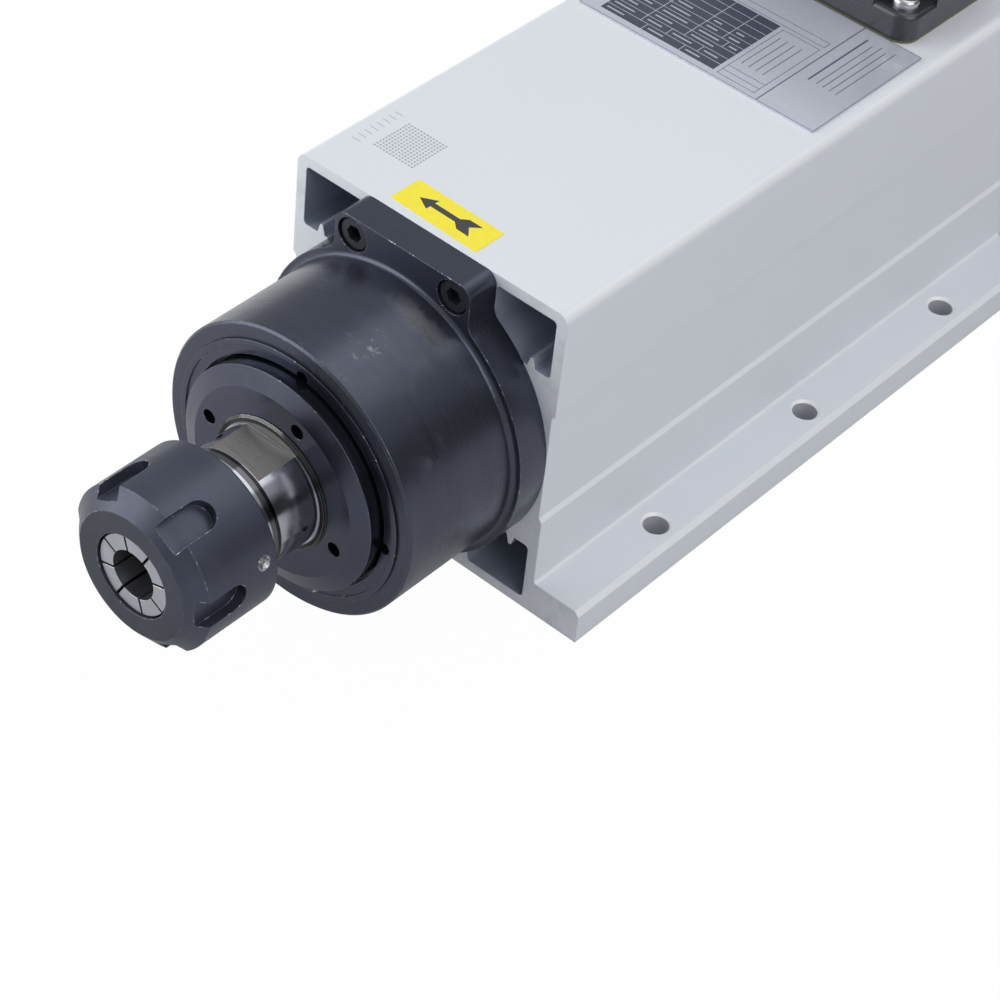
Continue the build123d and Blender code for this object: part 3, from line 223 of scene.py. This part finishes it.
class Finish(Net):
    """A surface finish: one material with a Principled shader and the tools that its recipe needs."""

    def __init__(self, name):
        self.material = bpy.data.materials.new(name)
        self.material.use_nodes = True
        self.material.node_tree.nodes.clear()
        super().__init__(self.material.node_tree, "Object")
        self.shader = self.tree.nodes.new("ShaderNodeBsdfPrincipled")
        output = self.tree.nodes.new("ShaderNodeOutputMaterial")
        self.tree.links.new(self.shader.outputs[0], output.inputs[0])

    def bump(self, height, distance, strength=1.0, rounding=0.0):
        """Surface relief, with the edges shaded as if they had the given rounding."""
        inputs = {"Strength": strength, "Distance": distance, "Height": height}
        if rounding:
            inputs["Normal"] = self.node("ShaderNodeBevel", 0, {"Radius": rounding}, samples=4)
        return self.node("ShaderNodeBump", 0, inputs)

    def lathe(self):
        """Coordinates about the spindle axis: radius, length along it and turn from the top."""
        x, y, z = self.split(self.place)
        up = self.minus(z, AXIS_Z)
        radius = self.calc("SQRT", self.plus(self.times(x, x), self.times(up, up)))
        return radius, y, self.calc("ARCTAN2", x, up)

    def edges(self, width):
        """1 on edges that the given rounding would reach, 0 on open faces."""
        rounded = self.node("ShaderNodeBevel", 0, {"Radius": width}, samples=4)
        flat = self.node("ShaderNodeNewGeometry", "Normal", {})
        facing = self.vector("DOT_PRODUCT", rounded, flat, "Value")
        return self.remap(self.minus(1.0, facing), 0.02, 0.25)

    def nicks(self, edge, amount):
        """Small chips strewn along the edges, more of them for a larger amount."""
        threshold = 0.64 - 0.1 * amount
        strewn = self.remap(self.noise(self.place, 700, 2, 0.6), threshold, threshold + 0.08)
        return self.times(edge, strewn)

    def facing(self, axis):
        """How far the true face normal points along one axis of the frame, without its sign."""
        normal = self.node("ShaderNodeTexCoord", "Normal", {})
        return self.calc("ABSOLUTE", self.split(normal)[axis])

    def done(self, colour, roughness, metallic=0.0, normal=None, **others):
        """Feed the shader and return its material; others are plain values on its own sockets."""
        self.feed(self.shader.inputs["Base Color"], rgba(colour))
        self.feed(self.shader.inputs["Roughness"], roughness)
        self.shader.inputs["Metallic"].default_value = metallic
        if normal is not None:
            self.feed(self.shader.inputs["Normal"], normal)
        for key, value in others.items():
            self.shader.inputs[key.replace("_", " ")].default_value = value
        return self.material


def anodised():
    """Clear-anodised extrusion: fine grain, sloped faces painted bright as highlight, sawn ends, channels
    painted dark as shade, bored foot holes with painted shade and highlight, and edges painted paler as wear
    and highlight.
    """
    net = Finish("anodised_aluminium")
    x, y, z = net.split(net.place)
    grain = net.noise(net.place, 2600, 2)
    die_lines = net.noise(net.stretch((700, 4, 700)), 1, 2, 0.5)
    cloud = net.noise(net.place, 18, 2)
    skin = net.mix(cloud, (0.775, 0.80, 0.845), (0.80, 0.825, 0.865))
    skin = net.mix(net.remap(grain, 0.4, 0.8, 0, 0.25), skin, (0.68, 0.71, 0.76))
    # 45-degree faces, such as the foot chamfer and the recess bevels, painted brighter as highlight
    painted_highlight_slope = net.remap(net.times(net.facing(0), net.facing(2)), 0.25, 0.45, 0, 0.7)
    skin = net.mix(painted_highlight_slope, skin, (0.93, 0.94, 0.96))

    ends = net.remap(net.facing(1), 0.6, 0.9)
    slant = net.plus(net.times(x, 2300), net.times(z, 1300))
    saw = net.noise(net.join(slant, net.times(z, 60), 0.0), 1, 3, 0.7)
    blotch = net.noise(net.place, 130, 3, 0.6)
    specks = net.remap(net.noise(net.stretch((620, 620, 150)), 1, 4, 0.75), 0.655, 0.70)
    cut = net.mix(saw, (0.72, 0.74, 0.81), (0.91, 0.93, 0.97))
    cut = net.mix(net.remap(blotch, 0.5, 0.75, 0, 0.4), cut, (0.50, 0.52, 0.60))
    cut = net.mix(specks, cut, (0.93, 0.94, 0.96))

    # Channel interiors painted darker as shade in the recesses, over the lengthwise die lines
    channel_shade_mask = net.times(
        net.band(x, 0.0, CHANNEL_HALF_WIDTH, 0.2 * MM),
        net.band(z, AXIS_Z, CHANNEL_HALF_HEIGHT, 0.2 * MM),
        net.minus(1.0, ends),
    )
    shaded_die_lines = net.mix(die_lines, (0.31, 0.34, 0.42), (0.40, 0.44, 0.53))
    colour = net.mix(ends, skin, cut)
    colour = net.mix(channel_shade_mask, colour, shaded_die_lines)
    sideways = net.minus(net.calc("ABSOLUTE", x), FOOT_HOLE_X)
    lengthways = net.calc("PINGPONG", y, FOOT_HOLE_PITCH / 2)
    spread = net.calc("SQRT", net.plus(net.times(sideways, sideways), net.times(lengthways, lengthways)))
    near_hole = net.remap(spread, FOOT_HOLE_RIM_R, FOOT_HOLE_RIM_R + 0.1 * MM, 1, 0)
    bored = net.times(near_hole, net.remap(net.facing(2), 0.9, 0.95, 1, 0))
    # In the foot holes the metal is bare; the sloping countersinks are painted bright as highlight and the
    # steep bore walls darker as shade
    painted_highlight_rim = net.remap(net.facing(2), 0.3, 0.5)
    colour = net.mix(bored, colour, net.mix(painted_highlight_rim, (0.56, 0.57, 0.61), (0.98, 0.98, 0.98)))
    # Edges painted paler, partly as wear and partly as highlight
    colour = net.mix(net.times(net.edges(0.45 * MM), 0.5), colour, (0.95, 0.955, 0.97))
    height = net.blend(ends, net.plus(net.times(grain, 0.8), net.times(die_lines, 0.08)), saw)
    skin_roughness = net.remap(die_lines, 0.3, 0.7, 0.50, 0.54)
    roughness = net.blend(ends, skin_roughness, net.remap(saw, 0.3, 0.7, 0.36, 0.5))
    return net.done(colour, roughness, 0.15, net.bump(height, 0.00004, 0.4, 0.4 * MM))


def turned(name, base, worn_and_highlight, roughness, groove=1.0, wear_and_highlight=0.4, metallic=0.6, chips=0.35, marks=None):
    """Turned metal: fine rings about the spindle axis, a wandering sheen, and edges painted paler as wear and
    highlight, with chips.
    """
    net = Finish(name)
    radius, along, turn = net.lathe()
    fine = net.join(net.times(radius, 3800), net.times(along, 3800), net.times(turn, 0.8))
    rings = net.noise(fine, 1, 3, 0.65)
    broad = net.noise(net.join(net.times(radius, 160), net.times(along, 160), net.times(turn, 1.2)), 1, 2)
    cloud = net.noise(net.place, 60, 4, 0.6, 0.4)
    patch = net.remap(cloud, 0.5, 0.72)
    colour = net.mix(broad, base, shade(base, 1.35, 0.002))
    rough = net.plus(net.remap(rings, 0.2, 0.8, roughness * 0.85, roughness * 1.15), net.times(patch, 0.1))
    if marks:
        colour, rough = marks(net, colour, rough, along, turn)
    rim = net.edges(0.4 * MM)
    # Edges painted paler, partly as rubbed wear and partly as highlight; the chips are wear
    colour = net.mix(net.times(rim, wear_and_highlight), colour, worn_and_highlight)
    colour = net.mix(net.nicks(rim, chips), colour, (0.85, 0.86, 0.88))
    return net.done(colour, rough, metallic, net.bump(rings, 0.00001 * groove, 0.6, 0.25 * MM))


def nose_marks(net, colour, rough, along, turn):
    """Dried oil near the flange, a few scraped chips on top and pale scuffs behind the front rim."""
    patches = (
        # turn from the top, place from the front face, half sizes, strength, tone, noise scale and threshold
        (0.33, -15.5, 0.32, 4.5, 0.50, 0.20, 170, 0.36),
        (0.27, -30.0, 0.16, 7.0, 0.75, 0.50, 430, 0.55),
        (0.52, -25.0, 0.42, 11.0, 0.16, 0.25, 90, 0.45),
        (0.16, -42.0, 0.45, 2.6, 0.30, 0.30, 520, 0.52),
        (1.10, -32.0, 0.30, 7.0, 0.10, 0.25, 120, 0.50),
        (2.40, -22.0, 0.60, 9.0, 0.12, 0.25, 120, 0.50),
        (-1.60, -26.0, 0.50, 8.0, 0.12, 0.25, 120, 0.50),
    )
    for at, back, wide, deep, strength, tone, scale, threshold in patches:
        across = net.times(net.minus(turn, at), 1 / wide)
        down = net.times(net.minus(along, FRONT_Y + back * MM), 1 / (deep * MM))
        spread = net.calc("SQRT", net.plus(net.times(across, across), net.times(down, down)))
        ragged = net.remap(net.noise(net.place, scale, 4, 0.65, 0.6), threshold, threshold + 0.2)
        patch = net.times(net.remap(spread, 0.2, 1.1, 1, 0), ragged)
        colour = net.mix(net.times(patch, strength), colour, (tone, 1.02 * tone, 1.04 * tone))
        rough = net.plus(rough, net.times(patch, 0.18))
    return colour, rough


def nut_marks(net, colour, rough, _along, _turn):
    """End faces painted blacker as shade, and a balancing dimple drilled through the finish to bare steel."""
    # The flat end faces are painted blacker as shade
    face = net.remap(net.facing(1), 0.9, 0.97, 0, 0.35)
    colour = net.mix(face, colour, (0.012, 0.013, 0.02))
    radius = NUT_HIGH.x
    middle = (radius * math.cos(DIMPLE_ANGLE), DIMPLE_Y, AXIS_Z + radius * math.sin(DIMPLE_ANGLE))
    distance = net.vector("DISTANCE", net.place, middle, "Value")
    x, y, z = net.split(net.place)
    up = net.minus(z, AXIS_Z)
    squared = net.plus(net.times(x, x), net.times(up, up))
    below = net.remap(squared, (radius - 0.1 * MM) ** 2, radius ** 2, 1, 0)
    drilled = net.times(net.remap(distance, DIMPLE_R, DIMPLE_R + 0.1 * MM, 1, 0), below)
    swirl = net.remap(net.noise(net.place, 900, 3, 0.6), 0.35, 0.65)
    return net.mix(drilled, colour, net.mix(swirl, (0.09, 0.09, 0.10), (0.62, 0.62, 0.64))), rough


def ground_steel():
    """Ground shaft steel: brushed spanner flats, a polished neck with bands and a collar painted dark as
    shade, and edges painted bright as highlight.
    """
    net = Finish("ground_steel")
    radius, along, turn = net.lathe()
    fine = net.join(net.times(radius, 5200), net.times(along, 5200), net.times(turn, 0.5))
    rings = net.noise(fine, 1, 2, 0.6)
    brushed = net.noise(net.stretch((160, 5200, 400)), 1, 3, 0.7)
    cloud = net.noise(net.place, 240, 3, 0.6)
    height = net.calc("ABSOLUTE", net.minus(net.split(net.place)[2], AXIS_Z))
    flats = net.times(net.remap(net.facing(2), 0.995, 0.9995, smooth=False),
                      net.band(height, FLAT_HEIGHT, 0.05 * MM, 0.05 * MM))
    round_part = net.mix(cloud, (0.40, 0.41, 0.45), (0.52, 0.53, 0.58))
    # A band of the polished neck between the nut and the flats is painted grey as shade, dimming its
    # highlight
    dimmed_band = net.band(along, DIMMED_BAND_Y, 0.7 * MM, 0.1 * MM)
    # The undercut groove is painted near-black as shade, and the ring just behind the nut as the nut's
    # painted shadow
    undercut = net.band(along, UNDERCUT_Y, 0.45 * MM, 0.1 * MM)
    nut_shadow = net.band(along, NUT_HIGH.y + 0.5 * MM, 1.1 * MM, 0.1 * MM)
    round_part = net.mix(dimmed_band, round_part, (0.13, 0.13, 0.14))
    round_part = net.mix(net.calc("MAXIMUM", undercut, nut_shadow), round_part, (0.03, 0.03, 0.035))
    # The collar is painted near-black as shade
    collar = net.remap(radius, NECK_R + 0.3 * MM, NECK_R + 0.5 * MM)
    collar = net.times(collar, net.remap(along, FLAT_FRONT_Y, FLAT_FRONT_Y + 2 * MM))
    round_part = net.mix(collar, round_part, (0.02, 0.02, 0.023))
    stain = net.remap(net.noise(net.place, 130, 3, 0.6), 0.4, 0.7)
    flat_part = net.mix(net.remap(brushed, 0.3, 0.7), (0.27, 0.255, 0.24), (0.39, 0.37, 0.35))
    flat_part = net.mix(net.times(stain, 0.5), flat_part, (0.30, 0.29, 0.25))
    colour = net.mix(flats, round_part, flat_part)
    # The concave run-out behind the flats is painted darker as shade
    run_out_shade = net.times(net.remap(along, FLAT_REAR_Y - 0.8 * MM, FLAT_REAR_Y + 0.4 * MM, 0, 0.75),
                        net.remap(height, 0.55 * NECK_R, 0.8 * NECK_R))
    colour = net.mix(run_out_shade, colour, (0.09, 0.09, 0.095))
    # Edges painted bright as highlight
    colour = net.mix(net.times(net.edges(0.2 * MM), 0.85), colour, (0.95, 0.96, 0.98))
    rough = net.blend(flats, net.remap(cloud, 0.3, 0.7, 0.12, 0.19), 0.42)
    relief = net.blend(flats, net.times(rings, 0.25), brushed)
    return net.done(colour, rough, 1.0, net.bump(relief, 0.00001, 0.6))


def moulded(name, base, roughness=0.3, grain=0.25, gloss=0.5, coat=0.0):
    """Moulded plastic or rubber: a fine texture, slight tone changes and edges painted paler as wear and
    highlight.
    """
    net = Finish(name)
    texture = net.noise(net.place, 1700, 3, 0.6)
    cloud = net.noise(net.place, 45, 2)
    colour = net.mix(net.remap(cloud, 0.3, 0.75, 0, 0.5), base, shade(base, 1.5, 0.012))
    # Edges painted paler, partly as wear and partly as highlight
    colour = net.mix(net.times(net.edges(0.4 * MM), 0.3), colour, shade(base, 2, 0.03))
    rough = net.remap(texture, 0.25, 0.75, roughness * 0.85, roughness * 1.2)
    return net.done(colour, rough, 0.0, net.bump(texture, 0.00003, grain), Specular_IOR_Level=gloss,
                    Coat_Weight=coat, Coat_Roughness=0.12)


def plain_metal(name, base, roughness=0.3, scale=(1500, 1500, 1500), grain=0.3, metallic=1.0):
    """Metal with a directional or even grain and edges painted brighter as wear and highlight."""
    net = Finish(name)
    texture = net.noise(net.stretch(scale), 1, 3, 0.6)
    cloud = net.noise(net.place, 90, 3)
    colour = net.mix(cloud, shade(base, 0.86), base)
    # Edges painted brighter, partly as wear and partly as highlight
    colour = net.mix(net.times(net.edges(0.3 * MM), 0.5), colour, shade(base, 1.3, 0.05))
    rough = net.remap(texture, 0.25, 0.75, roughness * 0.8, roughness * 1.25)
    return net.done(colour, rough, metallic, net.bump(texture, 0.00002, grain))


def stacked(name, base, pitch):
    """Thin stacked sheets: dark lines across the spindle axis at the sheets' pitch."""
    net = Finish(name)
    along = net.split(net.place)[1]
    line = net.remap(net.calc("PINGPONG", along, pitch / 2), 0.0, pitch * 0.12, 1, 0)
    colour = net.mix(line, base, shade(base, 0.25))
    return net.done(colour, 0.45, 1.0, net.bump(net.times(line, -1.0), 0.00005, 0.6))


def printed(name, base, roughness, gloss=0.5, metallic=0.0):
    """Printed film or ink: even colour with faint mottling and a soft sheen."""
    net = Finish(name)
    mottle = net.noise(net.place, 700, 3)
    colour = net.mix(net.remap(mottle, 0.3, 0.7, 0, 0.25), base, shade(base, 0.86))
    rough = net.remap(mottle, 0.3, 0.7, roughness * 0.85, roughness * 1.15)
    return net.done(colour, rough, metallic, net.bump(mottle, 0.00001, 0.3), Specular_IOR_Level=gloss)


MATERIALS = {
    "aluminium": anodised(),
    "black_steel": turned("black_oxide_steel", (0.062, 0.068, 0.092), (0.20, 0.21, 0.24), 0.29, 0.4, 0.45,
                          0.8, marks=nose_marks),
    "nut": turned("nut_black_oxide", (0.058, 0.064, 0.090), (0.26, 0.27, 0.31), 0.36, 0.8, 0.45, 0.6,
                  chips=0.8, marks=nut_marks),
    "ring": turned("ring_black_oxide", (0.068, 0.074, 0.100), (0.20, 0.21, 0.24), 0.22, 0.8, 0.45, 0.95),
    "ground": ground_steel(),
    "collet": turned("collet_steel", (0.40, 0.405, 0.435), (0.8, 0.8, 0.82), 0.36, 1.5, 0.5, 1.0),
    "screw": plain_metal("screw_black_oxide", (0.046, 0.048, 0.060), 0.4, metallic=0.6),
    "zinc": plain_metal("zinc_plate", (0.60, 0.61, 0.62), 0.26),
    "bearing": turned("bearing_steel", (0.55, 0.56, 0.58), (0.9, 0.9, 0.9), 0.14, 0.3, 0.3, 1.0),
    "rotor_end": plain_metal("cast_aluminium", (0.6, 0.61, 0.63), 0.45, grain=0.8),
    "lamination": stacked("lamination_stack", (0.35, 0.36, 0.38), 0.5 * MM),
    "copper": plain_metal("enamelled_copper", (0.62, 0.22, 0.09), 0.3, scale=(300, 3000, 300)),
    "cage": moulded("cage_resin", (0.42, 0.26, 0.12), 0.45),
    "cover": moulded("cover_paint", (0.02, 0.021, 0.024), 0.45, 0.5),
    "fan": moulded("fan_plastic", (0.022, 0.023, 0.026), 0.4),
    "box": moulded("box_plastic", (0.022, 0.024, 0.031), 0.30, 0.2, 0.6, 0.3),
    "gasket": moulded("gasket_rubber", (0.14, 0.145, 0.07), 0.7, 0.6, 0.3),
    "rubber": moulded("seal_rubber", (0.02, 0.02, 0.02), 0.75, 0.6, 0.3),
    "gland": moulded("gland_plastic", (0.018, 0.018, 0.02), 0.38),
    "lead": moulded("lead_insulation", (0.30, 0.02, 0.02), 0.45),
    "terminal": moulded("terminal_resin", (0.72, 0.71, 0.66), 0.45),
    "brass": plain_metal("brass", (0.72, 0.50, 0.22), 0.28),
    "plate": printed("plate_film", (0.64, 0.66, 0.74), 0.2, 0.6, 0.35),
    "plate_dark": printed("plate_dark_ink", (0.055, 0.06, 0.095), 0.36),
    "plate_line": printed("plate_line_ink", (0.10, 0.105, 0.15), 0.36),
    "plate_pale": printed("plate_pale_ink", (0.42, 0.44, 0.52), 0.36),
    "yellow": printed("sticker_yellow", (1.0, 0.86, 0.045), 0.4),
    "arrow": printed("sticker_black", (0.05, 0.052, 0.06), 0.42),
    "laser": printed("laser_mark", (0.42, 0.44, 0.48), 0.6),
}
FINISH = {
    "aluminium": "housing_extrusion rear_end_shield",
    "black_steel": "front_bearing_housing",
    "ring": "front_retaining_ring labyrinth_nut",
    "nut": "collet_nut",
    "ground": "spindle_shaft",
    "collet": "collet",
    "screw": "front_housing_screws rear_shield_screws",
    "zinc": "junction_box_screws lid_screws fan_cover_screws fan_screw",
    "bearing": "front_bearing_inner_rings front_bearing_outer_rings front_bearing_balls front_inner_spacer "
               "front_outer_spacer rear_bearing_inner_ring rear_bearing_outer_ring rear_bearing_balls "
               "preload_spring",
    "cage": "front_bearing_cages rear_bearing_cage",
    "lamination": "stator_core rotor_core",
    "rotor_end": "rotor_end_rings",
    "copper": "stator_winding",
    "lead": "motor_leads",
    "cover": "fan_cover",
    "fan": "fan_impeller",
    "box": "junction_box_base junction_box_lid",
    "gasket": "box_gasket lid_gasket",
    "rubber": "gland_seal",
    "gland": "gland_body gland_locknut gland_nut",
    "terminal": "terminal_block",
    "brass": "terminal_screws",
    "plate": "rating_plate",
    "yellow": "rotation_sticker",
}


def dress(obj, material):
    """Give the object one material, in place of what it came with."""
    obj.data.materials.clear()
    obj.data.materials.append(MATERIALS[material])


def flat_piece(name, outlines, base, thickness, material, corner=0.0):
    """Thin film or ink on a level face: each outline in millimetres becomes a closed slab of one mesh."""
    work = bmesh.new()
    for outline in outlines:
        low = [work.verts.new((x * MM, FRONT_Y + y * MM, base)) for x, y in outline]
        face = work.faces.new(low)
        face.normal_update()
        if face.normal.z < 0:
            face.normal_flip()
        if corner:
            bmesh.ops.bevel(work, geom=low, offset=corner, segments=4, affect="VERTICES")
    top = bmesh.ops.extrude_face_region(work, geom=list(work.faces))
    raised = [item for item in top["geom"] if isinstance(item, bmesh.types.BMVert)]
    bmesh.ops.translate(work, verts=raised, vec=(0, 0, thickness))
    bmesh.ops.recalc_face_normals(work, faces=list(work.faces))
    mesh = bpy.data.meshes.new(name)
    work.to_mesh(mesh)
    work.free()
    piece = bpy.data.objects.new(name, mesh)
    scene.collection.objects.link(piece)
    dress(piece, material)
    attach(piece, "housing")
    return piece


def bar(x0, y0, x1, y1):
    """Outline of a rectangle between two corners."""
    return [(x0, y0), (x1, y0), (x1, y1), (x0, y1)]


def frame_bars(x0, y0, x1, y1, width):
    """Four bars that frame a rectangle."""
    return [bar(x0, y0, x1, y0 + width), bar(x0, y1 - width, x1, y1),
            bar(x0, y0 + width, x0 + width, y1 - width), bar(x1 - width, y0 + width, x1, y1 - width)]


def make_sticker():
    """Yellow film with a plain arrow for the direction of rotation, cut and stuck a little out of square."""
    film = [(-14.9, 2.8), (11.9, 2.1), (11.9, 11.9), (-14.8, 12.5)]
    sticker = flat_piece("rotation_film", [film], TOP_Z, FILM, "yellow", 0.25 * MM)
    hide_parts("rotation_sticker")
    arrow = [(-10.1, 7.7), (-6.0, 10.0), (-6.2, 8.6), (1.6, 8.5), (3.3, 9.9), (7.3, 9.9),
             (5.0, 7.7), (7.1, 5.1), (3.3, 5.2), (1.4, 6.9), (-6.2, 7.0), (-6.3, 5.6)]
    flat_piece("rotation_arrow", [arrow], TOP_Z + FILM, INK, "arrow")


def make_plate_print():
    """Generic print on the rating plate: ruled table, frames and blank lines, with no words or signs."""
    left, right = PLATE_LOW.x / MM, PLATE_HIGH.x / MM
    start, end = (PLATE_LOW.y - FRONT_Y) / MM, (PLATE_HIGH.y - FRONT_Y) / MM
    top = PLATE_HIGH.z
    margin, thin, gap = 0.1, 0.16, 0.22
    divider, table_end, table_start = 19.1, 4.6, left + 5.2
    row, rows, table_low = 3.07, 9, 98.2
    value_rows, narrowest = 6, 4.0

    # Dark cells of the table, row by row from the front, with the columns of each row
    columns = {0: (-18.5, -6.5), 1: (-21.0, -13.0, -3.0), 2: (-21.0, -9.5), 3: (-21.0, -9.5, 0.0)}
    cells, values = [], []
    for index in range(rows):
        low, high = table_low + index * row, table_low + (index + 1) * row - gap
        cuts = [table_start, *columns.get(index, (-21.0, -9.5, -2.4)), table_end]
        for first, last in zip(cuts, cuts[1:]):
            cells.append(bar(first, low, last - gap, high))
            length = (0.5 + 0.07 * ((3 * index + 5 * len(values)) % 5)) * (last - first - gap)
            if index < value_rows and last - first > narrowest:
                values.append(bar(first + 1, low + 1.15, min(first + length, last - 1), low + 1.7))
    flat_piece("plate_table", cells, top, INK, "plate_dark")
    flat_piece("plate_values", values, top + INK, INK, "plate_pale")

    lines = frame_bars(left + margin, start + margin, right - margin, end - margin, thin)
    lines.append(bar(divider, start + margin + thin, divider + 0.3, end - margin - thin))
    box_low, box_high, box_left, box_right = 97.9, 124.9, 5.7, 17.3
    lines += frame_bars(box_left, box_low, box_right, box_high, thin)
    lines += [bar(box_left + thin, y, box_right - thin, y + thin) for y in (100.1, 102.4)]
    lines += frame_bars(table_start, 126.3, 17.5, 128.9, thin)
    for count, x in enumerate((22.6, 25.2, 27.2, 29.2, 31.2)):
        width = 0.5 if count == 0 else 0.22
        lines.append(bar(x, 112.5, x + width, 137.5 - 1.5 * (count % 2)))
    for x in (7.4, 9.6, 11.8, 14.0):
        lines.append(bar(x, 105.5, x + 0.22, 121.5))
    flat_piece("plate_lines", lines, top, INK, "plate_line")


def make_laser_field():
    """A laser-marked square of even dots with a row of plain ticks beside it, on the anodised top."""
    side, count, low_x, low_y = 12.8, 13, -31.1, 14.5
    pitch = side / count
    dot = 0.58 * pitch
    dots = []
    for i in range(count):
        for j in range(count):
            x, y = low_x + i * pitch, low_y + j * pitch
            dots.append(bar(x, y, x + dot, y + dot))
    ticks = [bar(-36.4, 13.0 + 2.1 * k, -33.9, 13.22 + 2.1 * k) for k in range(8)]
    flat_piece("laser_field", dots + ticks, TOP_Z, 0.4 * INK, "laser")


def light_path_share(net, direct, reflected):
    """Share of plain white: direct for camera and transmission rays, reflected for glossy rays."""
    rays = net.tree.nodes.new("ShaderNodeLightPath").outputs
    seen = net.calc("MAXIMUM", rays["Is Camera Ray"], rays["Is Transmission Ray"])
    return net.calc("MAXIMUM", net.times(seen, direct), net.times(rays["Is Glossy Ray"], reflected))


def make_stage():
    """A wide pale floor that shows as the photograph's white, with the object's shadow kept faint."""
    mesh = bpy.data.meshes.new("floor")
    size = FLOOR_HALF_SIZE
    corners = [(-size, -size, 0), (size, -size, 0), (size, size, 0), (-size, size, 0)]
    mesh.from_pydata(corners, [], [(0, 1, 2, 3)])
    floor = bpy.data.objects.new("floor", mesh)
    floor.location.z = -FLOOR_SINK
    scene.collection.objects.link(floor)
    material = bpy.data.materials.new("floor_white")
    material.use_nodes = True
    material.node_tree.nodes.clear()
    net = Net(material.node_tree, "Object")
    diffuse = net.node("ShaderNodeBsdfDiffuse", 0, {0: FLOOR_COLOUR})
    white = net.node("ShaderNodeEmission", 0, {0: (1, 1, 1, 1)})
    x = net.split(net.place)[0]
    reflected = net.times(net.remap(x, -0.16, 0.0, 0.95, 0.2), net.remap(x, 0.2, 0.6, 1.0, 0.3))
    share = light_path_share(net, WHITE_SHARE, reflected)
    mixed = net.node("ShaderNodeMixShader", 0, {0: share, 1: diffuse, 2: white})
    output = net.tree.nodes.new("ShaderNodeOutputMaterial")
    net.feed(output.inputs[0], mixed)
    mesh.materials.append(material)


def make_light():
    """Three large lamps in a pale room that is lighter above and at the left, with one dark side."""
    world = bpy.data.worlds.new("studio")
    scene.world = world
    world.use_nodes = True
    net = Net(world.node_tree, "Generated")
    x, y, z = net.split(net.place)
    strength = net.plus(net.remap(z, -0.05, 0.8, 0.20, 0.46), net.remap(x, -0.9, 0.1, 0.2, 0.0))
    flag = net.remap(net.vector("DOT_PRODUCT", net.place, ROOM_DARK_SIDE, "Value"), 0.84, 0.96)
    strength = net.times(strength, net.minus(1.0, net.times(flag, 0.97)))
    background = world.node_tree.nodes["Background"]
    background.inputs[0].default_value = ROOM_COLOUR
    net.feed(background.inputs[1], strength)
    white = net.node("ShaderNodeBackground", 0, {0: (1, 1, 1, 1)})
    share = light_path_share(net, WHITE_SHARE, ROOM_GLOSS_SHARE)
    mixed = net.node("ShaderNodeMixShader", 0, {0: share, 1: background.outputs[0], 2: white})
    net.feed(world.node_tree.nodes["World Output"].inputs[0], mixed)
    for name, place, size, power in LAMPS:
        data = bpy.data.lights.new(name, "AREA")
        data.shape = "SQUARE"
        data.size = size
        data.energy = power
        lamp = bpy.data.objects.new(name, data)
        scene.collection.objects.link(lamp)
        lamp.location = place
        lamp.rotation_euler = (Vector(LAMP_AIM) - Vector(place)).to_track_quat("-Z", "Y").to_euler()


make_camera()
for material, names in FINISH.items():
    for name in names.split():
        dress(nodes[name], material)
make_sticker()
make_plate_print()
make_laser_field()
make_stage()
make_light()
